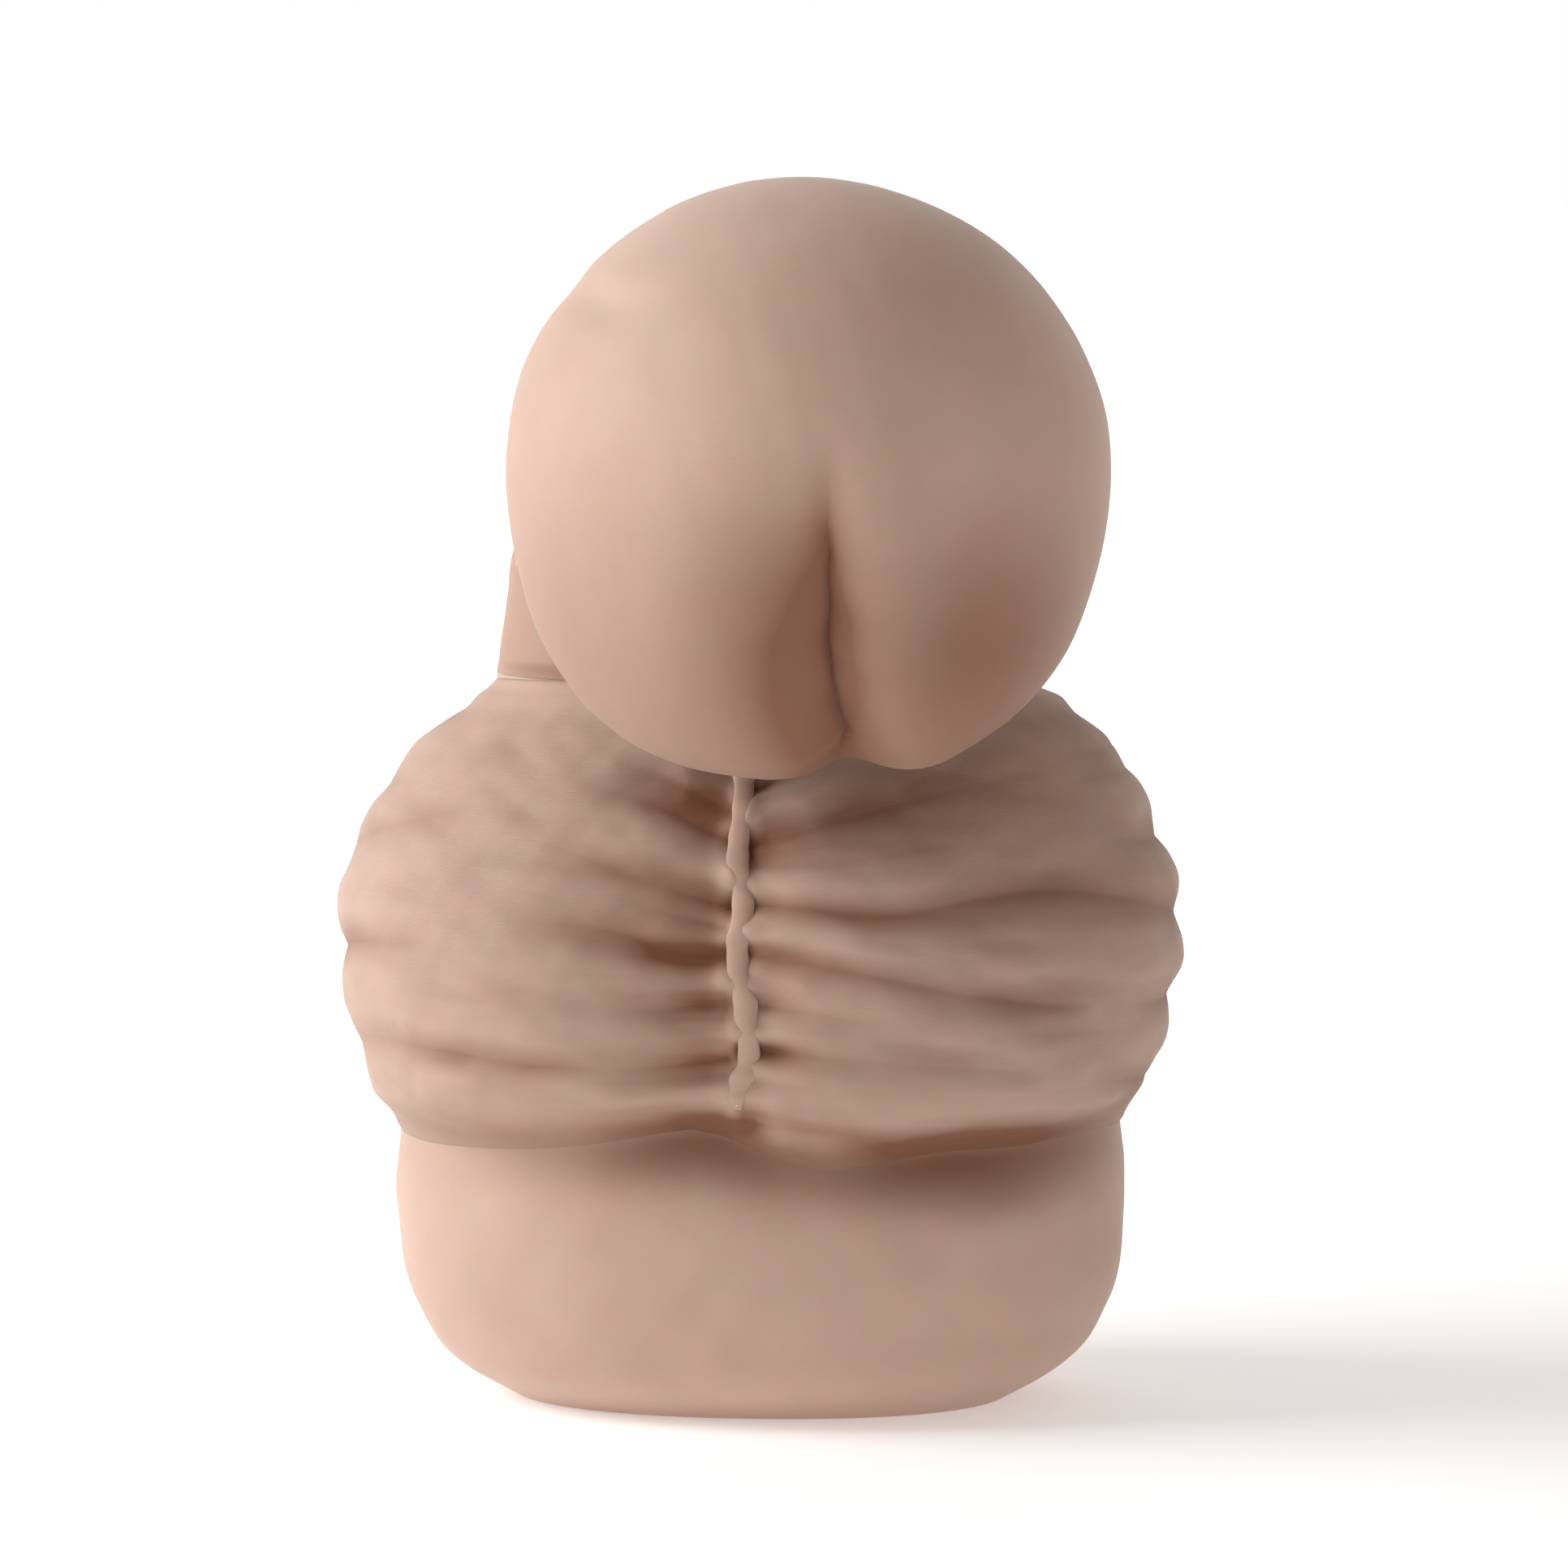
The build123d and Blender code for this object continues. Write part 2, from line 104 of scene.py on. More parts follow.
CREASE_STRENGTH = (
    (-180, 0.15), (-100, 0.15), (-60, 0.2), (-35, 0.4), (-18, 0.9), (-8, 1.0), (3, 0.9), (14, 0.75), (24, 0.8),
    (33, 1.0), (50, 1.1), (64, 0.8), (78, 0.35), (100, 0.15), (180, 0.15),
)
SIDE_SEAM = 102.0  # degrees

NOD_HEIGHT = 388.0
DOME_HALF = 120.0
DOME_RADIUS = 79.0
NECK_FLARE = 5.5
FOAM_FOOT = 62.0
FOAM_WIDENS = 62.0
NECK_PAINTED_SHADE = 0.55  # painted shade: the neck's skin darkened evenly
SOFT_WALL = 4.0  # skin of the neck and head
SLOT_HALF = 12.5
CAVITY_RADIUS = 36.0
CAVITY_TOP = 420.0
POCKET_GAP = 2.5
THROAT_GAP = 4.0
CHEST_CLEAR = (185.0, 131.0)
CHIN_LEVEL = 352.0

HEAD_TURN = 13.0
HEAD_CENTRE = (0.0, -137.0, 448.0)
HEAD_HALF = (134.5, 131.0, 135.0)
HEAD_LOPSIDED = 5.0
HEAD_CROWN_DROP = 4.0
HEAD_CHIN_EXTRA = 6.5
HEAD_SQUARENESS = 0.45  # of its lower half
SKULL_RADIUS = 88.0
SKULL_CENTRE = (0.0, -137.0, 448.0)
REACH_HALF = 28.0
REACH_SPAN = (70.0, 92.0)
NAPE_CENTRE = (0.0, -34.0, 392.0)
NAPE_RADIUS = 120.0
NAPE_RIM = 27.0
NAPE_UNDERCUT = 16.0
NAPE_BLEND = 18.0
CUTTER_LOW = 250.0  # well under the head
CUTTER_FAR = 300.0  # well outside it
SHARP_EDGE = np.radians(50)

# ---- camera -------------------------------------------------------------------------------------
VIEW_AZIMUTH = 4.75
VIEW_ELEVATION = 6.0
VIEW_DISTANCE = 3000.0
VIEW_HALF_WIDTH = 373.0  # of the frame, at that distance
VIEW_AIM = (11.0, 0.0, 291.0)


def make_camera():
    azimuth, elevation = np.radians([VIEW_AZIMUTH, VIEW_ELEVATION])
    back = np.array([np.sin(azimuth) * np.cos(elevation), -np.cos(azimuth) * np.cos(elevation), np.sin(elevation)])
    data = bpy.data.cameras.new("camera")
    data.angle = 2 * np.arctan(VIEW_HALF_WIDTH / VIEW_DISTANCE)
    camera = bpy.data.objects.new("camera", data)
    camera.location = (np.array(VIEW_AIM) + VIEW_DISTANCE * back) * MM
    camera.rotation_euler = (np.pi / 2 - elevation, 0, azimuth)
    bpy.context.collection.objects.link(camera)
    bpy.context.scene.camera = camera


# ---- number helpers -----------------------------------------------------------------------------
def smooth_step(low, high, value):
    t = np.clip((value - low) / (high - low), 0, 1)
    return t * t * (3 - 2 * t)


def bump(value, centre, spread):
    return np.exp(-(((value - centre) / spread) ** 2))


def curve_through(rows, at):
    """Smooth values between the rows of a table whose first column is the place."""
    rows = np.array(rows, float)
    places, values = rows[:, 0], rows[:, 1:]
    slopes = np.gradient(values, places, axis=0)
    at = np.clip(at, places[0], places[-1])
    i = np.clip(np.searchsorted(places, at, side="right") - 1, 0, len(places) - 2)
    span = places[i + 1] - places[i]
    t = ((at - places[i]) / span)[..., None]
    span = span[..., None]
    return (
        values[i] * (1 + 2 * t) * (1 - t) ** 2
        + slopes[i] * span * t * (1 - t) ** 2
        + values[i + 1] * t * t * (3 - 2 * t)
        + slopes[i + 1] * span * t * t * (t - 1)
    )


def soft_noise(points, wavelength, seed, waves=14):
    """A smooth random field between about -1 and 1, from waves in random directions."""
    random = np.random.default_rng(seed)
    total = np.zeros(points.shape[:-1])
    for _ in range(waves):
        direction = random.normal(size=3)
        direction /= np.linalg.norm(direction)
        rate = 2 * np.pi / (wavelength * random.uniform(0.7, 1.5))
        total += np.sin(points @ direction * rate + random.uniform(0, 2 * np.pi))
    return total / np.sqrt(waves)


def smooth_max(a, b, width):
    """The larger of two lengths, rounded where they are nearly the same."""
    h = np.clip(0.5 + 0.5 * (a - b) / width, 0, 1)
    return b + (a - b) * h + width * h * (1 - h)


def turned(points, degrees=HEAD_TURN):
    """Points of the head's own frame, turned to where the head is at rest."""
    angle = np.radians(degrees)
    x, y = points[..., 0], points[..., 1]
    cos, sin = np.cos(angle), np.sin(angle)
    return np.stack([x * cos - y * sin, x * sin + y * cos, points[..., 2]], -1)


# ---- mesh helpers -------------------------------------------------------------------------------
def grid_faces(rows, columns, wrap_rows=False, wrap_columns=True):
    """Quads between neighbouring rows and columns of a grid of points."""
    row = np.arange(rows if wrap_rows else rows - 1)[:, None]
    column = np.arange(columns if wrap_columns else columns - 1)[None, :]
    next_row, next_column = (row + 1) % rows, (column + 1) % columns
    corners = [
        row * columns + column,
        row * columns + next_column,
        next_row * columns + next_column,
        next_row * columns + column,
    ]
    return np.stack(np.broadcast_arrays(*corners), -1).reshape(-1, 4)


def new_piece(name, points, faces, hollows=None, smooth=True):
    """An object from points in millimetres, with how far each point's colour goes to the deep tone of painted
    shade.
    """
    mesh = bpy.data.meshes.new(name)
    mesh.from_pydata((np.asarray(points).reshape(-1, 3) * MM).tolist(), [], [list(map(int, f)) for f in faces])
    mesh.validate()
    if smooth:
        mesh.shade_smooth()
    piece = bpy.data.objects.new(name, mesh)
    if hollows is not None:
        set_hollows(piece, hollows)
    bpy.context.collection.objects.link(piece)
    return piece


def piece_points(piece):
    """The piece's points in millimetres."""
    places = np.empty(3 * len(piece.data.vertices), np.float32)
    piece.data.vertices.foreach_get("co", places)
    return places.reshape(-1, 3) / MM


def set_hollows(piece, hollows):
    """Store the painted shade: how far each point's colour goes to the deep tone, 0 to 1."""
    layer = piece.data.attributes.get("hollow") or piece.data.attributes.new("hollow", "FLOAT", "POINT")
    layer.data.foreach_set("value", np.asarray(hollows, np.float32).reshape(-1))


def closed_tube_faces(rows, columns):
    """Faces of a grid whose columns wrap, with one face to close each end."""
    faces = [list(f) for f in grid_faces(rows, columns)]
    faces.append(list(range(columns))[::-1])
    faces.append([(rows - 1) * columns + i for i in range(columns)])
    return faces


def grid_normals(points, wrap_columns=True):
    """Outward normals of a grid whose rows go up and whose columns go round by the right."""
    up = np.gradient(points, axis=0)
    if wrap_columns:
        padded = np.concatenate([points[:, -1:], points, points[:, :1]], axis=1)
        round_ = (padded[:, 2:] - padded[:, :-2]) / 2
    else:
        round_ = np.gradient(points, axis=1)
    normals = np.cross(round_, up)
    return normals / np.linalg.norm(normals, axis=-1, keepdims=True)


def section_points(levels, z, degrees, grow=0.0):
    """Points of the torso's sections at heights z, in the directions degrees."""
    half, front, back = np.moveaxis(curve_through(levels, z), -1, 0)
    angle = np.radians(degrees)
    across, along = np.sin(angle), np.cos(angle)
    depth = np.where(along > 0, front, back) + grow
    radius = (np.abs(across / (half + grow)) ** EXPONENT + np.abs(along / depth) ** EXPONENT) ** (-1 / EXPONENT)
    return np.stack([radius * across, -radius * along, np.broadcast_to(z, radius.shape)], -1)


def ring(half, deep, angles, z):
    return np.stack([half * np.sin(angles), -deep * np.cos(angles), 0 * angles + z], -1)


# ---- creases ------------------------------------------------------------------------------------
DEGREE = 2.9  # millimetres round the chest for one degree
FOLD_STRENGTH = 1.1


def crease_field(degrees, z, creases):
    """How deep the surface is pushed in at each place, in millimetres.

    A crease is a list of (degrees, height, depth, width): a sharp valley with a rounded roll on each side.
    """
    total = np.zeros(np.shape(degrees))
    across, up = degrees * DEGREE, z
    for crease in creases:
        rows = np.array(crease, float)
        places = np.arange(len(rows))
        fine = curve_through(np.column_stack([places, rows]), np.linspace(0, len(rows) - 1, 8 * len(rows)))
        nearest = np.full(total.shape, 1e9)
        depth, width = np.zeros(total.shape), np.ones(total.shape)
        reach = 11 * rows[:, 3].max()
        low, high = fine[:, :2].min(0), fine[:, :2].max(0)
        close = (across > low[0] * DEGREE - reach) & (across < high[0] * DEGREE + reach)
        close &= (up > low[1] - reach) & (up < high[1] + reach)
        for a, b in zip(fine[:-1], fine[1:]):
            start, run = np.array([a[0] * DEGREE, a[1]]), np.array([(b[0] - a[0]) * DEGREE, b[1] - a[1]])
            t = ((across[close] - start[0]) * run[0] + (up[close] - start[1]) * run[1]) / (run @ run)
            t = np.clip(t, 0, 1)
            gap = np.hypot(across[close] - start[0] - t * run[0], up[close] - start[1] - t * run[1])
            better = gap < nearest[close]
            index = np.flatnonzero(close)[better]
            nearest.flat[index] = gap[better]
            depth.flat[index] = (a[2] + t * (b[2] - a[2]))[better]
            width.flat[index] = (a[3] + t * (b[3] - a[3]))[better]
        ratio = nearest / width
        valley = 0.38 * np.exp(-ratio) + 0.62 * np.exp(-((ratio / 2.6) ** 2))
        roll = 0.2 * np.exp(-(((ratio - 5.0) / 2.2) ** 2))
        total += np.where(close, FOLD_STRENGTH * depth * (valley - roll), 0)
    return total


# Main folds of the cover: (degrees, height, depth, width), from the middle strip outwards.
RIGHT_FOLDS = (
    [(2, 308, 3, 2.5), (9, 312, 1.5, 3), (20, 316, 0, 3)],
    [(2, 279.5, 6, 3), (15, 285, 4, 4), (25, 291, 4.5, 5), (39, 298, 3, 5), (54, 304, 1, 5), (66, 306, 0, 5)],
    [(2, 270, 2.5, 2), (20, 270.5, 1.5, 3), (35, 275.5, 2, 3.5), (44, 277, 0, 3.5)],
    [
        (2, 253, 4, 2.5), (13, 250, 4, 3), (21, 247, 4.5, 3), (29, 247, 3.5, 3.5), (39, 252, 3.5, 4),
        (52, 255, 3.5, 4.5), (66, 248, 3, 5), (79, 238, 3.5, 5), (92, 231, 4.5, 5), (110, 228, 2, 5),
        (130, 228, 0, 5),
    ],
    [
        (2, 229, 3.5, 2.5), (13, 224.5, 3, 3), (25, 218, 3, 3), (37, 210, 2.5, 3), (50, 203, 3.5, 3.5),
        (58, 201, 0, 3),
    ],
    [(2, 205, 3, 2.5), (13, 202, 2, 2.5), (20, 199, 1.2, 3), (34, 196, 0, 3)],
    [(2, 183, 3, 2.5), (13, 181, 1.8, 3), (25, 179, 1.5, 3), (44, 174, 1, 4), (56, 172, 0, 4)],
    [(2, 168, 2.5, 2.5), (10, 167, 1, 3), (22, 166, 0, 3)],
    [(58, 326, 0, 3), (75, 327, 2.5, 3.5), (90, 326, 3, 3.5), (115, 326, 0, 4)],
    [(64, 312, 0, 3), (78, 312, 2.5, 3.5), (92, 311, 2.5, 3.5), (115, 310, 0, 4)],
    [(64, 300, 0, 3), (78, 301, 2.5, 3), (92, 300, 2.5, 3), (115, 299, 0, 4)],
    [(62, 276, 0, 4), (76, 271, 3, 4.5), (91, 268, 4.5, 4.5), (110, 266, 1.5, 4), (128, 265, 0, 4)],
    [(64, 200, 0, 4), (77, 195, 3, 4.5), (91, 192, 4, 4.5), (110, 190, 1.5, 4), (128, 190, 0, 4)],
    [(58, 166, 0, 4), (73, 159, 3, 4.5), (88, 153, 4.5, 4.5), (106, 150, 2, 4), (125, 150, 0, 4)],
)
LEFT_FOLDS = (
    [(-1, 307, 4, 2.5), (-7, 311, 2, 3), (-16, 315, 0, 3)],
    [(-1, 294, 3.5, 2.5), (-11, 301, 3, 3), (-21, 307, 2.5, 3), (-32, 312, 0, 3)],
    [
        (-1, 280, 5.5, 2.8), (-7, 285, 4.5, 3), (-14, 291, 4, 3), (-20, 295.5, 3, 3.5), (-27, 299, 2, 4),
        (-40, 303, 0, 4),
    ],
    [
        (-1, 251, 5, 3), (-7, 255, 3, 3.5), (-14, 260, 2.5, 4), (-20, 264, 3, 4), (-27, 270, 2, 4),
        (-36, 277, 0, 4),
    ],
    [
        (-1, 229, 5.5, 3), (-7, 229, 5, 3.5), (-13, 232, 5, 3.5), (-18, 237, 4, 4), (-26, 241, 2.5, 4),
        (-38, 241, 0, 4),
    ],
    [(-1, 203, 3.5, 2.5), (-6, 204, 2.5, 2.5), (-12, 203, 1.5, 3), (-22, 202, 0, 3)],
    [
        (-1, 179, 4, 3), (-6, 177, 3, 3), (-13, 175, 2, 3), (-24, 175, 1.2, 3), (-35, 175, 2.5, 3.5),
        (-45, 177.5, 3, 3.5), (-57, 179, 2, 3.5), (-68, 178, 1.5, 4), (-80, 168, 2.5, 5), (-91, 161, 3.5, 5),
        (-110, 158, 1.5, 5), (-128, 158, 0, 5),
    ],
    [
        (-48, 230, 0, 3.5), (-56, 226, 1.8, 3.5), (-68, 223, 3, 4), (-80, 216, 4, 4.5), (-91, 210, 4.5, 4.5),
        (-110, 208, 2, 4), (-128, 208, 0, 4),
    ],
    [
        (-50, 292, 0, 4), (-60, 284, 1.5, 4), (-74, 272, 1.5, 4), (-84, 262, 2, 4.5), (-92, 257, 3, 4.5),
        (-115, 255, 0, 4),
    ],
    [(-66, 300, 0, 4), (-80, 294, 1.5, 4), (-91, 290, 2.5, 4), (-112, 288, 0, 4)],
    [(-70, 326, 0, 4), (-85, 326, 2, 4), (-100, 326, 1, 4), (-120, 326, 0, 4)],
)
# The slope of the small wrinkles, in millimetres for one degree away from the middle, by height.
RIGHT_FAN = ((120, -0.5), (155, -0.3), (183, -0.2), (229, -0.5), (253, 0.0), (280, 0.5), (340, 0.6))
LEFT_FAN = ((120, -0.4), (155, -0.3), (183, -0.15), (203, 0.0), (229, 0.4), (253, 0.7), (340, 0.7))


def small_wrinkles(side, fan, count, seed):
    """Short random wrinkles that leave the middle strip along the fan."""
    random = np.random.default_rng(seed)
    wrinkles = []
    for _ in range(count):
        height = random.uniform(150, 320)
        start = random.choice([1.5, random.uniform(4, 60)], p=[0.55, 0.45])
        run = random.uniform(9, 26)
        depth = random.uniform(0.5, 1.5) * (1 if start < 2 else 0.7)
        width = random.uniform(1.0, 2.3)
        slope = float(curve_through(fan, np.array(height))[0])
        bend = random.uniform(-0.15, 0.15)
        wrinkle = []
        for step, share in ((0, 1.0 if start < 2 else 0.0), (0.35, 0.9), (0.7, 0.5), (1, 0)):
            away = start + run * step
            rise = slope * run * step + bend * run * step * step
            wrinkle.append((side * away, height + rise, depth * share, width * (1 + step)))
        wrinkles.append(wrinkle)
    return wrinkles


def back_folds():
    """Soft level folds across the back panel, between the side seams."""
    random = np.random.default_rng(31)
    folds = []
    for height in np.arange(135, 330, 24.0):
        for side in (-1, 1):
            z = height + random.uniform(-6, 6)
            reach = random.uniform(35, 70)
            depth = random.uniform(0.8, 1.8)
            folds.append(
                [
                    (side * 106, z, depth * 0.4, 4),
                    (side * (106 + reach * 0.4), z + random.uniform(-3, 3), depth, 5),
                    (side * (106 + reach), z + random.uniform(-5, 5), 0, 6),
                ]
            )
    return folds


def tuck_folds():
    """The crease where the cover turns in under the chest, and the small flat gather beside the middle strip."""
    return [
        [
            (1, 143, 4, 4), (-6, 141, 5, 5), (-12, 140, 4, 5.5), (-18, 139, 2, 5), (-29, 137, 1.2, 5),
            (-44, 134, 1, 5), (-66, 134, 1, 5), (-90, 134, 1.5, 5), (-120, 134, 0, 5),
        ],
        [(2, 143, 3, 2), (8, 143.5, 1.8, 2), (14, 143, 1.8, 2), (22, 140.5, 1.8, 3), (31, 136, 0, 4)],
        [
            (18, 139, 0, 4), (27, 135, 2, 5), (36, 132, 4.5, 6), (44, 131, 6.5, 6.5), (55, 131, 6, 6),
            (66, 134, 3.5, 4), (76, 137, 2, 3.5), (88, 139, 0, 4),
        ],
        [(80, 131, 0, 4), (90, 131, 3, 4), (105, 133, 2, 4), (125, 133, 0, 4)],
    ]


def all_folds():
    folds = list(RIGHT_FOLDS) + list(LEFT_FOLDS) + tuck_folds() + back_folds()
    folds += small_wrinkles(1, RIGHT_FAN, 60, 5)
    folds += small_wrinkles(-1, LEFT_FAN, 56, 6)
    for side in (-1, 1):
        folds.append([(side * SIDE_SEAM, height, 1.2, 1.2) for height in (118, 230, 338)])
    return folds


# ---- the gathered cover -------------------------------------------------------------------------
STRIP_PATH = (  # height, degrees
    (120, 1.0), (157, 0.6), (171, 1.7), (183, 2.6), (194, 2.2), (208, 1.8), (222, 0.6),
    (237, 0.8), (254, 1.6), (267, 0.4), (283, 0.0), (296, 0.7), (309, -0.8), (340, -0.5),
)


def strip_angle(z):
    """Where the middle strip runs, in degrees: it wanders a little."""
    return curve_through(STRIP_PATH, np.asarray(z, float))[..., 0]


def chest_shape(degrees, z):
    """How far the two halves of the chest fall away from the plain section: in towards the middle strip."""
    off = degrees - strip_angle(z)
    depth = curve_through(((112, 0), (135, 9), (160, 18), (200, 21), (250, 20), (290, 13), (338, 2)), z)[..., 0]
    reach = np.where(off < 0, 16.0, 8.0)
    groove = depth * (0.62 * np.exp(-np.abs(off / reach) ** 1.3) + 0.38 * bump(off, 0, 27))
    fullness = -3.0 * bump(np.abs(degrees), 34, 18) * bump(z, 205, 45)
    under = 9.0 * smooth_step(168, 132, z) * smooth_step(88, 40, np.abs(degrees - 8))
    flanks = -2.3 * bump(off * DEGREE, 0, 8)
    return groove + fullness + under + flanks


def cover_columns():
    """Directions round the torso, closer together near the middle strip."""
    spans = ((0, 8, 0.34), (8, 70, 0.6), (70, 116, 0.75), (116, 179.3, 1.4))
    front = np.concatenate([np.arange(*span) for span in spans])
    return np.concatenate([-front[::-1], front[1:]])


def under_crease(degrees, z):
    """How deep in the crease under the chest a place is, from 0 to 1."""
    line = curve_through(LOWER_EDGE, degrees)[..., 0] + 1 + 4 * bump(degrees, 17, 13)
    strength = curve_through(CREASE_STRENGTH, degrees)[..., 0]
    return strength * np.where(z > line, bump(z, line, 11), bump(z, line, 19))


def skin_surface(z, degrees, grow=0.0):
    """The torso's skin: its section, drawn in under the chest and under the top hem."""
    points = section_points(SKIN_LEVELS, z, degrees, grow)
    inward = 7.0 * under_crease(degrees, z) + 2.2 * smooth_step(325, 334, z) * smooth_step(345, 339, z)
    outward = points[..., :2] / np.linalg.norm(points[..., :2], axis=-1, keepdims=True)
    points[..., :2] -= outward * inward[..., None]
    return points


def edge_heights(degrees):
    """The heights of the cover's lower and upper edges in each direction."""
    low = curve_through(LOWER_EDGE, degrees)[..., 0]
    high = COVER_HIGH + 4.0 + 4.0 * smooth_step(100, 55, np.abs(degrees))
    return low, high


def cover_surface(degrees, heights, wraps=True, inset=0.0):
    """The outside of the cover with its folds, and its painted shade.

    The painted shade deepens with the depth of the folds and of the crease under the chest; beside is painted
    shade laid on by place, left of the middle strip, with a faint change along the streaks."""
    low, high = edge_heights(degrees)
    z = heights + (low - COVER_LOW) * smooth_step(COVER_LOW + FOOT_BLEND, COVER_LOW, heights)
    z = z + (high - COVER_HIGH) * smooth_step(COVER_HIGH - TOP_BLEND, COVER_HIGH, heights)
    base = section_points(COVER_LEVELS, z, degrees)
    normals = grid_normals(base, wraps)
    push = chest_shape(degrees, z)
    folds = crease_field(degrees, z, all_folds())
    edge = smooth_step(low, low + 12, z) * smooth_step(high, high - 7, z)
    folds = folds * (0.15 + 0.85 * edge)
    soft = 0.45 * soft_noise(base, 46, 11) + 0.2 * soft_noise(base, 17, 12)
    streaks = soft_noise(base * [0.2, 0.2, 1.0], 11, 13) * edge
    soft = soft + 0.2 * streaks
    flat = normals * [1, 1, 0.35]
    flat /= np.linalg.norm(flat, axis=-1, keepdims=True)
    points = base - flat * (push + folds + soft * edge + inset)[..., None]
    points[..., 0] += 3.5 * smooth_step(280, 325, z)
    points[..., :2] += flat[..., :2] * (1.8 * bump(z, high - 7, 4.5))[..., None]
    closed = smooth_step(low + 4, low, z) + smooth_step(high - 2, high, z)
    skin = skin_surface(z, degrees, 0.5 + 0.35 * COVER_THICK - 1.6 * closed - inset)
    reach, least = np.linalg.norm(points[..., :2], axis=-1), np.linalg.norm(skin[..., :2], axis=-1)
    hug = smooth_step(low + FOOT_CLOSES, low, z) ** 1.3
    wanted = smooth_max(reach, least + 4.0 * smooth_step(low, low + 16, z), 3.0) * (1 - hug) + least * hug
    hug = smooth_step(high - TOP_CLOSES, high, z) ** 1.2
    wanted = wanted * (1 - hug) + least * hug
    points[..., :2] *= (wanted / reach)[..., None]
    off = degrees - strip_angle(z)
    # painted shade left of the middle strip, laid on by place
    beside = 0.40 * bump(off, -7, 10) * smooth_step(330, 290, z) * smooth_step(145, 170, z)
    beside = beside + 0.045 * streaks + 0.05
    # painted shade deepening with the folds and in the crease under the chest
    return points, np.clip(folds / 5.0, -0.3, 0.9) + 0.95 * under_crease(degrees, z) + beside


def make_cover():
    columns = cover_columns()
    heights = np.linspace(COVER_LOW, COVER_HIGH, 172)
    degrees, z = np.meshgrid(columns, heights)
    outer, hollow = cover_surface(degrees, z)
    thick = COVER_THICK * (0.35 + 0.65 * smooth_step(COVER_LOW, COVER_LOW + 8, z))
    inner = outer - grid_normals(outer) * thick[..., None]
    rows = len(heights)
    points = np.concatenate([outer, inner[::-1]])
    faces = grid_faces(2 * rows, len(columns), wrap_rows=True)
    cover = new_piece("gathered_cover", points, faces, np.concatenate([hollow, hollow[::-1]]))
    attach(cover, "torso")
    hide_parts("cover_panel_left", "cover_panel_right", "cover_panel_back")
    return cover


# ---- materials ----------------------------------------------------------------------------------
def set_inputs(made, **inputs):
    for name, value in inputs.items():
        made.inputs[name.replace("_", " ")].default_value = value
    return made


def node(tree, kind, **inputs):
    return set_inputs(tree.nodes.new(kind), **inputs)


def colour_mix(tree, **inputs):
    mix = tree.nodes.new("ShaderNodeMix")
    mix.data_type = "RGBA"
    return set_inputs(mix, **inputs)


def soft_range(tree, **inputs):
    made = node(tree, "ShaderNodeMapRange", **inputs)
    made.interpolation_type = "SMOOTHSTEP"
    return made


def new_material(name):
    """A material, its node tree, its shader and the object's own coordinates."""
    material = bpy.data.materials.new(name)
    material.use_nodes = True
    tree = material.node_tree
    return material, tree, tree.nodes["Principled BSDF"], tree.nodes.new("ShaderNodeTexCoord")


def join(source, output, target, socket):
    source.id_data.links.new(source.outputs[output], target.inputs[socket])


def skin_material(name, colour, deep, roughness, grain, weave=0.0):
    """Soft matte skin tone, faintly mottled, that goes to the tone deep where its painted-shade attribute says."""
    material, tree, shader, place = new_material(name)
    mottle = node(tree, "ShaderNodeTexNoise", Scale=9.0, Detail=4.0, Roughness=0.55)
    blotch = node(tree, "ShaderNodeTexNoise", Scale=38.0, Detail=3.0, Roughness=0.6)
    join(place, "Object", mottle, "Vector")
    join(place, "Object", blotch, "Vector")
    tone = tree.nodes.new("ShaderNodeValToRGB")
    tone.color_ramp.elements[0].position = 0.3
    tone.color_ramp.elements[1].position = 0.7
    tone.color_ramp.elements[0].color = [c * s for c, s in zip(colour, (0.955, 0.94, 0.93))] + [1]
    tone.color_ramp.elements[1].color = [min(1, c * 1.03) for c in colour] + [1]
    join(mottle, "Fac", tone, "Fac")
    fleck = colour_mix(tree, Factor=0.10)
    fleck.blend_type = "MULTIPLY"
    join(tone, "Color", fleck, "A")
    join(blotch, "Color", fleck, "B")
    # painted shade: the stored attribute darkens the colour towards the deep tone
    hollow = tree.nodes.new("ShaderNodeAttribute")
    hollow.attribute_name = "hollow"
    fade = node(tree, "ShaderNodeMapRange", From_Max=1.12, To_Max=0.93)
    join(hollow, "Fac", fade, "Value")
    shade = colour_mix(tree, B=[*deep, 1])
    join(fade, "Result", shade, "Factor")
    join(fleck, "Result", shade, "A")
    join(shade, "Result", shader, "Base Color")
    set_inputs(shader, Roughness=roughness, Specular_IOR_Level=0.28, Sheen_Weight=0.10, Sheen_Roughness=0.5)
    set_inputs(shader, Subsurface_Weight=0.22, Subsurface_Radius=(1.0, 0.45, 0.28), Subsurface_Scale=0.012)
    surface = node(tree, "ShaderNodeTexNoise", Scale=900.0, Detail=3.0, Roughness=0.6)
    join(place, "Object", surface, "Vector")
    relief = node(tree, "ShaderNodeBump", Strength=grain, Distance=0.0006)
    join(surface, "Fac", relief, "Height")
    last = relief
    if weave:
        knit = node(tree, "ShaderNodeTexWave", Scale=330.0, Distortion=1.2, Detail=2.0)
        knit.bands_direction = "Z"
        join(place, "Object", knit, "Vector")
        ribs = node(tree, "ShaderNodeBump", Strength=weave, Distance=0.0005)
        join(knit, "Fac", ribs, "Height")
        join(relief, "Normal", ribs, "Normal")
        last = ribs
    join(last, "Normal", shader, "Normal")
    return material


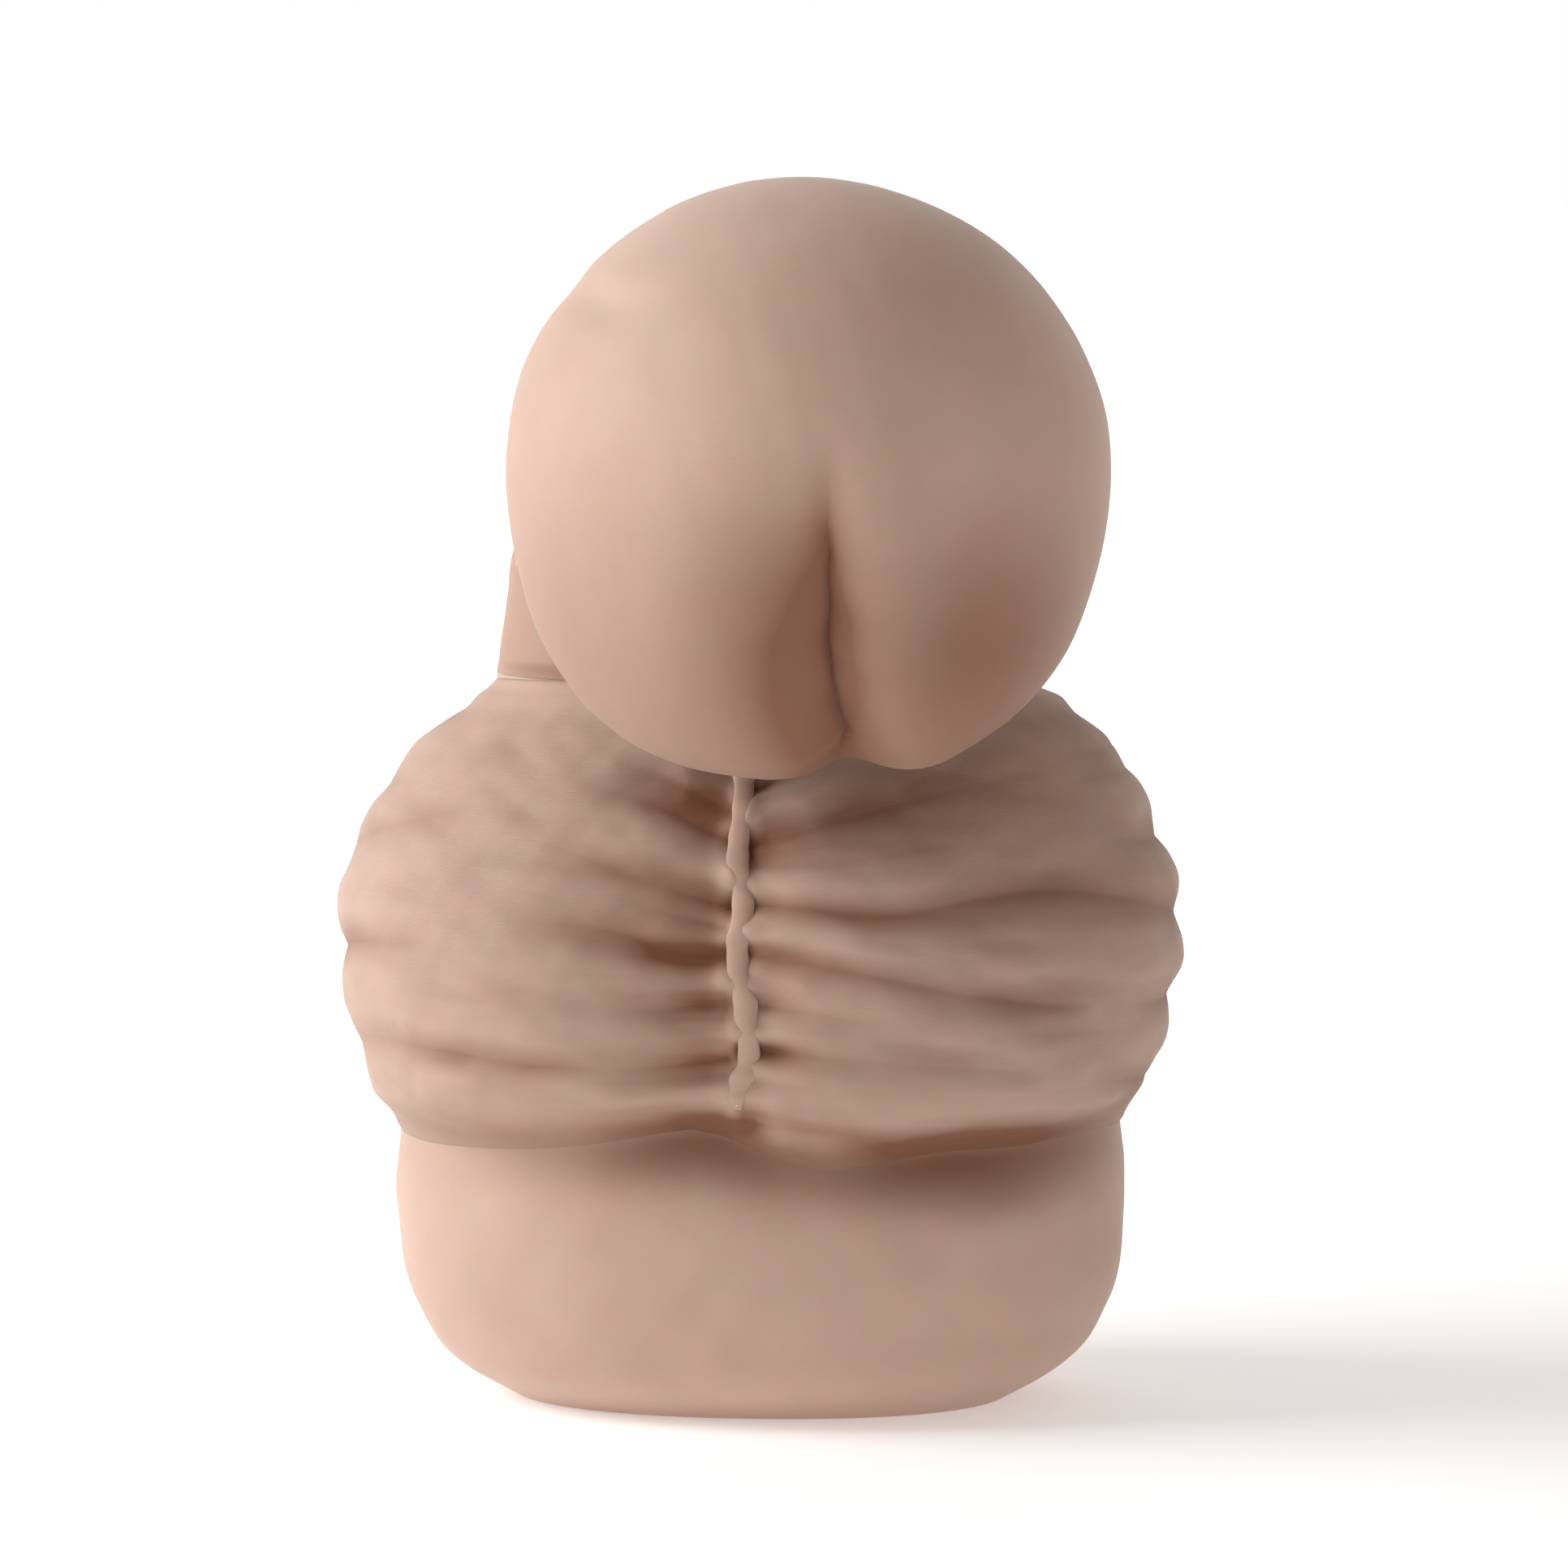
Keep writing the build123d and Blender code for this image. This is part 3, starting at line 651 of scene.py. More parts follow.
def hard_material(name, colour, metallic, roughness, scale=60.0, change=0.25):
    """A metal, plastic, wood or foam with uneven roughness and a faintly uneven colour."""
    material, tree, shader, place = new_material(name)
    noise = node(tree, "ShaderNodeTexNoise", Scale=scale, Detail=5.0, Roughness=0.6)
    join(place, "Object", noise, "Vector")
    tone = tree.nodes.new("ShaderNodeValToRGB")
    tone.color_ramp.elements[0].color = [c * (1 - change) for c in colour] + [1]
    tone.color_ramp.elements[1].color = [min(1, c * (1 + 0.4 * change)) for c in colour] + [1]
    join(noise, "Fac", tone, "Fac")
    join(tone, "Color", shader, "Base Color")
    rough = node(tree, "ShaderNodeMapRange", To_Min=roughness * 0.8, To_Max=min(1.0, roughness * 1.2))
    join(noise, "Fac", rough, "Value")
    join(rough, "Result", shader, "Roughness")
    shader.inputs["Metallic"].default_value = metallic
    relief = node(tree, "ShaderNodeBump", Strength=0.15, Distance=0.0003)
    join(noise, "Fac", relief, "Height")
    join(relief, "Normal", shader, "Normal")
    return material


# ---- torso skin ---------------------------------------------------------------------------------
def make_torso_skin():
    """The moulded skin: a shell, open underneath round the plate and closed over the top of the foam."""
    columns = np.arange(-180, 180, 0.9)
    heights = np.concatenate([np.linspace(0.5, 14, 12), np.linspace(17, 100, 40), np.linspace(101.5, 146, 31)])
    heights = np.concatenate([heights, np.linspace(152, BODY_TOP, 30)])
    degrees, z = np.meshgrid(columns, heights)
    outer = skin_surface(z, degrees)
    normals = grid_normals(outer)
    soft = 0.8 * soft_noise(outer, 90, 21) + 0.3 * soft_noise(outer, 33, 22)
    outer = outer - normals * (soft * smooth_step(4, 30, z) * smooth_step(118, 95, z))[..., None]
    # painted shade in the crease under the chest
    hollow = 0.95 * under_crease(degrees, z)
    degrees, z = np.meshgrid(columns, np.linspace(BODY_TOP, SKIN_WALL + 1, 40))
    inner = skin_surface(z, degrees, -SKIN_WALL)
    hole = plate_rings(columns, 0.0, (SKIN_WALL + 1, 0.5))
    points = np.concatenate([outer, inner, hole])
    hollow = np.concatenate([hollow, 0 * inner[..., 0], 0 * hole[..., 0]])
    skin = new_piece("torso_skin_soft", points, grid_faces(len(points), len(columns), wrap_rows=True), hollow)
    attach(skin, "torso")
    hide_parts("torso_skin")
    return skin


def plate_rings(columns, grow, heights):
    """Rings round the base plate at the given heights."""
    angle = np.radians(columns)
    half, deep = PLATE_HALF[0] + grow, PLATE_HALF[1] + grow
    return np.array([ring(half, deep, angle, z) for z in heights])


def make_torso_foam():
    """The core inside the skin, with a stepped hole for the plate, socket, spine and bearing housing."""
    columns = np.arange(-180, 180, 2.0)
    low = SKIN_WALL + 1.5
    degrees, z = np.meshgrid(columns, np.linspace(low, BODY_TOP, 50))
    outer = skin_surface(z, degrees, -SKIN_WALL - 0.6)
    angle = np.radians(columns)
    rings = []
    for (radius, start), (_, end) in zip(FOAM_BORE, FOAM_BORE[1:]):
        for height in (start, end):
            rings.append(ring(radius, radius, angle, height))
    recess = plate_rings(columns, 0.3, (12.5, low))
    points = np.concatenate([outer, np.array(rings), recess])
    foam = new_piece("torso_foam_shaped", points, grid_faces(len(points), len(columns), wrap_rows=True))
    foam.data.set_sharp_from_angle(angle=SHARP_EDGE)
    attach(foam, "torso")
    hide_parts("torso_foam")
    return foam


# ---- hems and middle strip ----------------------------------------------------------------------
def make_band(name, node_name, surface, heights, half_sizes, out, seed):
    """A rolled band round the torso, with the small puckers of a gathered hem.

    heights gives its middle in each direction, half_sizes how far it reaches up and out, and out how far its
    middle lies outside the section."""
    columns = np.arange(-180, 180, 0.6)
    around = np.radians(np.arange(0, 360, 24))
    degrees, turn = np.meshgrid(columns, around)
    middle = heights(degrees)
    place = surface(middle, degrees, out)
    outward = place * [1, 1, 0] / np.linalg.norm(place * [1, 1, 0], axis=-1, keepdims=True)
    pucker = 1 + 0.10 * soft_noise(place, 9, seed) + 0.08 * soft_noise(place, 30, seed + 1)
    points = place + outward * (half_sizes[1] * np.cos(turn) * pucker)[..., None]
    points[..., 2] += half_sizes[0] * np.sin(turn) * pucker
    faces = grid_faces(len(around), len(columns), wrap_rows=True)
    # painted shade where the puckers dip in
    band = new_piece(name, points, faces, 0.3 * np.clip(1 - pucker, 0, 1))
    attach(band, "torso")
    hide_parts(node_name)
    return band


def top_edge(degrees):
    return edge_heights(degrees)[1] - TOP_HEM_DROP


def tuck_edge(degrees):
    return edge_heights(degrees)[0] + FOOT_HEM_RISE


def strip_tube(name, low, share):
    """A beaded tube that follows the strip's line over the cover; share is how much of the full size it is."""
    heights = np.arange(low, STRIP_TOP, 0.8)
    columns = cover_columns()
    degrees, z = np.meshgrid(columns, heights)
    surface, _ = cover_surface(degrees, z)
    angle = strip_angle(heights)
    centre = np.array([[np.interp(a, columns, row[:, i]) for i in range(3)] for a, row in zip(angle, surface)])
    crests = np.lib.stride_tricks.sliding_window_view(np.pad(centre[:, 1], 7, mode="edge"), 15).min(-1)
    centre = np.column_stack([centre[:, 0], soften(0.5 * crests + 0.5 * centre[:, 1], 9), centre[:, 2]])
    along = np.column_stack([0 * heights, 0 * heights, heights])
    beads = 1 + 0.09 * np.sin(heights * 2 * np.pi / BEAD_PITCH + 1.6 * np.sin(heights / 17.0))
    beads = beads + 0.12 * soft_noise(along, 11, 41)
    size = share * beads * (smooth_step(low, low + 12, heights) * smooth_step(339, 328, heights) * 0.7 + 0.3)
    outward = np.array([0.0, -1.0, 0.2]) / np.hypot(1.0, 0.2)
    side = np.array([1.0, 0, 0])
    around = np.radians(np.arange(0, 360, 15))
    sway = 0.5 * soft_noise(along, 15, 43)
    middle = centre + outward * STRIP_LIFT + side * sway[:, None]
    rolls = middle[:, None, :] + (STRIP_HALF[0] * size[:, None] * np.cos(around))[..., None] * side
    rolls = rolls + (STRIP_HALF[1] * size[:, None] * np.sin(around))[..., None] * outward
    # painted shade where the beads narrow
    hollows = np.clip(0.9 - beads, 0, 0.5)[:, None] + 0 * around
    tube = new_piece(name, rolls, closed_tube_faces(len(heights), len(around)), hollows)
    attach(tube, "torso")
    return tube


def soften(values, reach):
    """A running mean over reach values each way."""
    padded = np.pad(values, reach, mode="edge")
    return np.convolve(padded, np.ones(2 * reach + 1) / (2 * reach + 1), mode="valid")


def make_strip():
    """The gathered casing down the middle of the chest, a narrow beaded roll, and the elastic inside it."""
    strip = strip_tube("middle_strip", 146.0, 1.0)
    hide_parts("centre_casing")
    elastic = strip_tube("middle_elastic", 149.0, 0.45)
    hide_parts("centre_elastic")
    return strip, elastic


# ---- chest pads ---------------------------------------------------------------------------------
def make_pad(side, name, node_name):
    """The padding under one half of the cover: it fills the cover and lies on the torso skin."""
    degrees = side * np.linspace(1.2, SIDE_SEAM - 2, 70)
    if side < 0:
        degrees = degrees[::-1]
    heights = np.linspace(COVER_LOW + 5, COVER_HIGH - 5, 60)
    grid_degrees, z = np.meshgrid(degrees, heights)
    outer, _ = cover_surface(grid_degrees, z, False, COVER_THICK + PAD_GAP)
    z = outer[..., 2]
    inner = skin_surface(z, grid_degrees, 0.2)
    close = np.einsum("...i,...i->...", outer[..., :2], outer[..., :2]) ** 0.5
    floor = np.einsum("...i,...i->...", inner[..., :2], inner[..., :2]) ** 0.5
    short = close < floor + 0.5
    outer[short, :2] = inner[short, :2] * ((floor[short] + 0.5) / floor[short])[:, None]
    rows, count = grid_degrees.shape
    points = np.concatenate([outer.reshape(-1, 3), inner.reshape(-1, 3)])
    front = grid_faces(rows, count, wrap_columns=False)
    faces = [list(f) for f in front] + [list(f[::-1] + rows * count) for f in front]
    edge = [r * count for r in range(rows)]
    loop = list(range(count)) + [r * count + count - 1 for r in range(1, rows)]
    loop += [(rows - 1) * count + c for c in range(count - 2, -1, -1)] + edge[-2:0:-1]
    for a, b in zip(loop, loop[1:] + loop[:1]):
        faces.append([b, a, a + rows * count, b + rows * count])
    pad = new_piece(name, points, faces)
    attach(pad, "torso")
    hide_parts(node_name)
    return pad


# ---- neck ---------------------------------------------------------------------------------------
def neck_points(grow, angles, low):
    """Rings of the column and the dome, in the head's own frame."""
    rise = np.linspace(low, NOD_HEIGHT, 22)
    flare = NECK_FLARE * (NOD_HEIGHT - rise) / (NOD_HEIGHT - BODY_TOP)
    column = [(z, DOME_HALF + f + grow, DOME_RADIUS + grow) for z, f in zip(rise, flare)]
    radius = DOME_RADIUS + grow
    dome = [
        (NOD_HEIGHT + radius * np.sin(a), (DOME_HALF + grow) * np.cos(a), radius * np.cos(a))
        for a in np.radians(np.concatenate([np.arange(3, 84, 3), [85, 87, 88.5]]))
    ]
    rows = [[(half * np.sin(t), -deep * np.cos(t), z) for t in angles] for z, half, deep in column + dome]
    return np.array(rows)


def prism_cutter(name, profile, half):
    """A prism across the head, from a profile of places along Y and heights over the nod axis."""
    points = np.array([[(x, y, NOD_HEIGHT + z) for y, z in profile] for x in (-half, half)])
    count = len(profile)
    faces = [list(range(count)), list(range(2 * count - 1, count - 1, -1))]
    faces += [[i, i + count, (i + 1) % count + count, (i + 1) % count] for i in range(count)]
    return cutter(name, points, faces)


def slot_cutter():
    """The sector in front of the nod axis that the head's tongue sweeps."""
    rays = [(np.radians(degrees), reach) for degrees, reach in ((-10, 130), (28, 160), (66, 130))]
    profile = [(0, 0), *((-reach * np.cos(a), reach * np.sin(a)) for a, reach in rays)]
    return prism_cutter("tongue_slot", profile, SLOT_HALF)


def neck_solid(name, grow, low, step, foot=None):
    """The neck's form; foot is the radius its lower end narrows to, so that it turns inside the skin."""
    angles = np.radians(np.arange(-180, 180, step))
    points = neck_points(grow, angles, low)
    if foot:
        reach = np.linalg.norm(points[..., :2], axis=-1)
        narrow = np.minimum(reach, foot + FOAM_WIDENS * smooth_step(BODY_TOP + 19, NOD_HEIGHT + 8, points[..., 2]))
        points[..., :2] *= (narrow / reach)[..., None]
        return cutter(name, points, closed_tube_faces(*points.shape[:2]))
    soft = 0.5 * soft_noise(points, 60, 51)
    points = points - grid_normals(points) * (soft * smooth_step(350, 365, points[..., 2]))[..., None]
    return cutter(name, meet_torso(points, grow), closed_tube_faces(*points.shape[:2]))


def meet_torso(points, grow):
    """Draw the foot of the neck's column to the outline of the torso's top, which is not turned with the neck."""
    placed = turned(points)
    reach = np.linalg.norm(placed[..., :2], axis=-1)
    degrees = np.degrees(np.arctan2(placed[..., 0], -placed[..., 1]))
    top = section_points(SKIN_LEVELS, BODY_TOP + 0 * degrees, degrees, grow)
    share = smooth_step(BODY_TOP + 9, BODY_TOP + 0.5, points[..., 2])
    placed[..., :2] *= (1 + share * (np.linalg.norm(top[..., :2], axis=-1) / reach - 1))[..., None]
    return turned(placed, -HEAD_TURN)


def make_neck():
    neck = neck_solid("neck_skin_soft", 0.0, BODY_TOP + 0.2, 1.2)
    foam = neck_solid("neck_foam_shaped", -SOFT_WALL - 0.3, BODY_TOP + 1, 2.0, FOAM_FOOT)
    fix_normals(neck)
    fix_normals(foam)
    subtract(neck, [neck_solid("inside", -SOFT_WALL, BODY_TOP - 5, 1.6), slot_cutter()])
    subtract(foam, [ellipse_cutter("bore", (CAVITY_RADIUS, CAVITY_RADIUS), 300, CAVITY_TOP), slot_cutter()])
    for piece, node_name, slot in ((neck, "neck_skin", "skin"), (foam, "neck_foam", "foam")):
        piece.hide_render = False
        finish_soft(piece, node_name)
    # painted shade over the whole neck skin
    set_hollows(neck, NECK_PAINTED_SHADE + 0 * piece_points(neck)[:, 0])
    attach(foam, "neck")
    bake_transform(neck)
    return neck, foam


def finish_soft(piece, node_name):
    piece.data.shade_smooth()
    piece.data.set_sharp_from_angle(angle=SHARP_EDGE)
    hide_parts(node_name)


# ---- head ---------------------------------------------------------------------------------------
CLEFT_PLACE = -8.0  # across the head, in its own frame
CLEFT_SPAN = (  # height from the head's middle, depth
    (-140, 12), (-118, 16), (-95, 18), (-63, 17), (-40, 13), (-20, 8.5), (-5, 4), (12, 1.4), (30, 0), (60, 0),
)


def cleft_line(z):
    """Where the cleft runs, across the head: nearly straight, with small wobbles in its lower half."""
    wobble = 0.7 * np.sin(z / 5.5) * smooth_step(-10, -40, z) * smooth_step(-95, -70, z)
    lean = 0.24 * HEAD_HALF[1] * (1 - np.sqrt(np.clip(1 - (z / HEAD_HALF[2]) ** 2, 0.05, 1)))
    return CLEFT_PLACE + wobble + 1.5 * bump(z, -45, 22) + np.where(z < 0, lean, 0)


def head_relief(x, y, z):
    """How far the head's front is pushed in (cleft, ridge, shallow valley, notch and dent), and its painted shade.

    The painted shade goes by depth only in the cleft. The rest, shade, is soft painted shadow laid on by place: in
    the shallow valley, along the cleft, towards the bottom, on the lower right and at the left edge."""
    depth = np.clip(curve_through(CLEFT_SPAN, z)[..., 0], 0, None)
    off = x - cleft_line(z)
    left, right = np.clip(-off, 0, None), np.clip(off, 0, None)
    sharp = smooth_step(10, -30, z)
    line = sharp * np.exp(-left / 4.5) + (1 - sharp) * bump(left, 0, 9)
    bank = 0.34 * line + 0.66 * bump(left, 0, 42)
    line = sharp * np.exp(-right / 3.6) + (1 - sharp) * bump(right, 0, 8)
    bank = np.where(off < 0, bank, 0.6 * line + 0.4 * bump(right, 0, 15))
    cleft = depth * bank
    ridge = -2.6 * bump(off, 27 - 0.1 * z, 19) * smooth_step(40, -30, z)
    dip = bump(x, 66 + 0.1 * z, 30) * bump(z, -48, 62)
    swell = -2.0 * bump(x, -62, 34) * bump(z, -60, 50)
    notch = 9.0 * bump(off, 6, 16) * smooth_step(-88, -126, z) * smooth_step(70, 0, y)
    dent = 2.2 * bump(x, -98, 12) * bump(z, 78, 10)
    push = (cleft + ridge + 12 * dip + swell) * smooth_step(10, -40, y) + notch + dent
    # painted shadow laid on by place
    shade = 0.42 * bump(x, 70, 44) * bump(z, -62, 80) + 0.50 * smooth_step(40, -110, z)
    shade = shade + 0.15 * smooth_step(-20, 40, x) * smooth_step(0, -90, z) + 0.2 * smooth_step(-60, -130, x)
    shade = shade + 0.24 * np.where(off < 0, bump(off, 0, 36), bump(off, 0, 12)) * bump(z, -75, 62)
    shade = shade + 0.22 * bump(off, -3, 8) * bump(z, -14, 20) + 0.2 * bump(off, -5, 11) * bump(z, -75, 48)
    # painted shade: the cleft's darkening deepens with its depth
    return push, np.clip(cleft / 15, 0, 1.2) + shade


def head_columns():
    """Lateral angles across the head, close together at the cleft."""
    near = np.concatenate([np.arange(0, 4, 0.22), np.arange(4, 14, 0.5), np.arange(14, 40, 1.1)])
    centre = np.degrees(np.arcsin(CLEFT_PLACE / HEAD_HALF[0]))
    right = np.concatenate([centre + near, np.arange(centre + 40, 87, 1.7), [88.5]])
    left = np.concatenate([centre - near, np.arange(centre - 40, -87, -1.7), [-88.5]])
    return np.concatenate([left[::-1], right[1:]])


def head_surface(inset=0.0):
    """Rings round the head from its left side to its right, in the head's own frame; inset is how far inside."""
    lateral = np.radians(head_columns())
    turn = np.radians(np.concatenate([np.arange(-150, 100, 0.9), np.arange(100, 210, 1.5)]))
    beta, alpha = np.meshgrid(lateral, turn, indexing="ij")
    across, forward, up = np.sin(beta), np.cos(beta) * np.cos(alpha), np.cos(beta) * np.sin(alpha)
    left_half, deep, tall = HEAD_HALF
    half = left_half + HEAD_LOPSIDED * smooth_step(-0.5, 0.9, across)
    tall = np.where(up > 0, tall - HEAD_CROWN_DROP, tall + HEAD_CHIN_EXTRA * smooth_step(-0.55, -0.95, up))
    power = 2.0 + HEAD_SQUARENESS * smooth_step(0.0, -0.75, up)
    flat = (np.abs(across / half) ** power + np.abs(up / tall) ** power) ** (2 / power)
    radius = 1 / np.sqrt(flat + (forward / deep) ** 2)
    to_nape = np.array(NAPE_CENTRE) - np.array(HEAD_CENTRE)
    direction = np.stack([across, -forward, up], -1)
    along = direction @ to_nape
    inside = along**2 - to_nape @ to_nape + NAPE_RADIUS**2
    nape = along + np.sqrt(np.clip(inside, 0, None))
    radius = smooth_max(radius, nape - NAPE_UNDERCUT * smooth_step(-0.7, -0.92, up), NAPE_BLEND)
    points = direction * radius[..., None]
    push, hollow = head_relief(points[..., 0], points[..., 1], points[..., 2])
    soft = 0.5 * soft_noise(points, 80, 61) + 0.12 * soft_noise(points, 24, 62)
    points = points - direction * (push + soft + inset)[..., None]
    return points + np.array(HEAD_CENTRE), hollow


def cutter(name, points, faces):
    piece = new_piece(name, turned(points), faces, smooth=False)
    piece.hide_render = True
    return piece


def neck_cutter(grow=0.0):
    angles = np.radians(np.arange(-180, 180, 2.0))
    points = neck_points(POCKET_GAP + grow, angles, CUTTER_LOW)
    return cutter("neck_room", points, closed_tube_faces(*points.shape[:2]))


def ellipse_cutter(name, half_sizes, low, high, grow=0.0):
    angles = np.radians(np.arange(-180, 180, 2.0))
    half, deep = half_sizes[0] + grow, half_sizes[1] + grow
    points = np.stack([ring(half, deep, angles, z) for z in (low, high + grow)])
    return cutter(name, points, closed_tube_faces(2, len(angles)))


def rim_cutter(grow=0.0):
    """A wedge under the back of the nape."""
    far, bottom = CUTTER_FAR, grow - CUTTER_FAR
    rise = np.tan(np.radians(NAPE_RIM)) * far
    return prism_cutter("nape_rim", [(-grow, grow), (far, rise + grow), (far, bottom), (-grow, bottom)], far)


def side_rim_cutter(grow=0.0):
    """Clears the sides of the neck: the head's edge there is higher than under its front."""
    far, front, top = CUTTER_FAR, -100 - grow, 10 + grow
    profile = [(front, -40), (-58 - grow, top), (far, top), (far, -far), (front, -far)]
    return prism_cutter("side_rim", profile, far)


def fix_normals(piece):
    work = bmesh.new()
    work.from_mesh(piece.data)
    bmesh.ops.recalc_face_normals(work, faces=work.faces)
    work.to_mesh(piece.data)
    work.free()


def subtract(piece, cutters):
    """Cut the cutters out of the piece, and remove them."""
    for tool in cutters:
        fix_normals(tool)
        cut = piece.modifiers.new("cut", "BOOLEAN")
        cut.operation = "DIFFERENCE"
        cut.solver = "MANIFOLD"
        cut.object = tool
        bpy.context.view_layer.objects.active = piece
        bpy.ops.object.modifier_apply(modifier=cut.name)
    for tool in cutters:
        bpy.data.objects.remove(tool)


def head_solid(name, inset, grow):
    """The head's form pulled in by inset, with the room for the neck and the chest cut out of it."""
    points, hollow = head_surface(inset)
    solid = new_piece(name, turned(points), closed_tube_faces(*points.shape[:2]), hollow)
    fix_normals(solid)
    throat = (DOME_HALF + THROAT_GAP, DOME_RADIUS + THROAT_GAP)
    subtract(
        solid,
        [
            neck_cutter(grow),
            ellipse_cutter("throat_room", throat, CUTTER_LOW, NOD_HEIGHT, grow),
            ellipse_cutter("chest_room", CHEST_CLEAR, CUTTER_LOW, CHIN_LEVEL, grow),
            rim_cutter(grow),
            side_rim_cutter(grow),
        ],
    )
    return solid


def make_head():
    head = head_solid("head_skin_soft", 0.0, 0.0)
    filling = head_solid("head_foam_shaped", SOFT_WALL, SOFT_WALL)
    subtract(head, [copy_of(filling), reach_cutter()])
    bpy.ops.mesh.primitive_uv_sphere_add(segments=72, ring_count=36, radius=(SKULL_RADIUS + 0.4) * MM)
    skull = bpy.context.object
    skull.location = turned(np.array(SKULL_CENTRE)) * MM
    subtract(filling, [skull, reach_cutter()])
    for piece, node_name, slot in ((head, "head_skin", "skin"), (filling, "head_foam", "foam")):
        finish_soft(piece, node_name)
        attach(piece, "head")
    own = turned(piece_points(head), -HEAD_TURN) - HEAD_CENTRE
    # painted shade and painted shadow on the head's skin
    set_hollows(head, head_relief(*own.T)[1])
    return head, filling


def copy_of(piece):
    twin = piece.copy()
    twin.data = piece.data.copy()
    bpy.context.collection.objects.link(twin)
    return twin


def reach_cutter():
    """Room for the head bracket's plate, on the line from the nod axis to the middle of the skull."""
    axis = np.array(SKULL_CENTRE) - [0, 0, NOD_HEIGHT]
    axis /= np.linalg.norm(axis)
    side = np.array([1.0, 0, 0])
    up = np.cross(axis, side)
    corners = ((-1, -1), (1, -1), (1, 1), (-1, 1))
    points = [
        [np.array([0, 0, NOD_HEIGHT]) + axis * reach + REACH_HALF * (x * side + y * up) for x, y in corners]
        for reach in REACH_SPAN
    ]
    return cutter("bracket_room", np.array(points), closed_tube_faces(2, 4))


# ---- finishes -----------------------------------------------------------------------------------
SKIN_COLOUR = (0.60, 0.412, 0.33)
# the tone of the painted shade in folds and creases, under the chest, on the head and on the neck
PAINTED_SHADE_COLOUR = (0.20, 0.075, 0.035)
KNIT_TINT = (0.84, 0.82, 0.81)


def paint(pieces, material):
    for piece in pieces:
        piece.data.materials.clear()
        piece.data.materials.append(material)


def paint_cad(finishes):
    """Give every CAD node that still shows the finish of its material slot."""
    slots = {part["node"]: part["material_slot"] for part in frame["record"]["subparts"]}
    for name, slot in slots.items():
        piece = bpy.data.objects.get(name)
        if piece is None:
            continue
        for holder in piece.material_slots:
            holder.material = finishes[slot]


def make_finishes():
    skin = skin_material("soft_skin", SKIN_COLOUR, PAINTED_SHADE_COLOUR, 0.58, 0.12)
    knit = [c * s for c, s in zip(SKIN_COLOUR, KNIT_TINT)]
    cover = skin_material("stretch_knit", knit, PAINTED_SHADE_COLOUR, 0.66, 0.16, weave=0.10)
    return {
        "skin": skin,
        "cover": cover,
        "elastic": hard_material("elastic_tape", (0.74, 0.62, 0.52), 0, 0.8, 400),
        "foam": hard_material("foam", (0.78, 0.70, 0.48), 0, 0.95, 500),
        "plywood": hard_material("plywood", (0.52, 0.36, 0.20), 0, 0.6, 30, 0.35),
        "black_steel": hard_material("black_powder_coat", (0.03, 0.03, 0.033), 0.4, 0.5, 300),
        "zinc_steel": hard_material("zinc_plate", (0.62, 0.63, 0.64), 1.0, 0.35, 120),
        "bronze": hard_material("bronze", (0.52, 0.33, 0.15), 1.0, 0.4, 150),
        "shell_plastic": hard_material("shell_plastic", (0.70, 0.67, 0.60), 0, 0.5, 80, 0.1),
        "washer_plastic": hard_material("washer_plastic", (0.05, 0.05, 0.05), 0, 0.6, 80),
    }


# ---- stage --------------------------------------------------------------------------------------
FLOOR_SIZE = 80.0
FLOOR_GLOW = (0.32, 0.75)  # under the object, and far away
ROOM_LEFT = (0.45, 0.41, 0.375, 1)
ROOM_RIGHT = (0.27, 0.24, 0.212, 1)


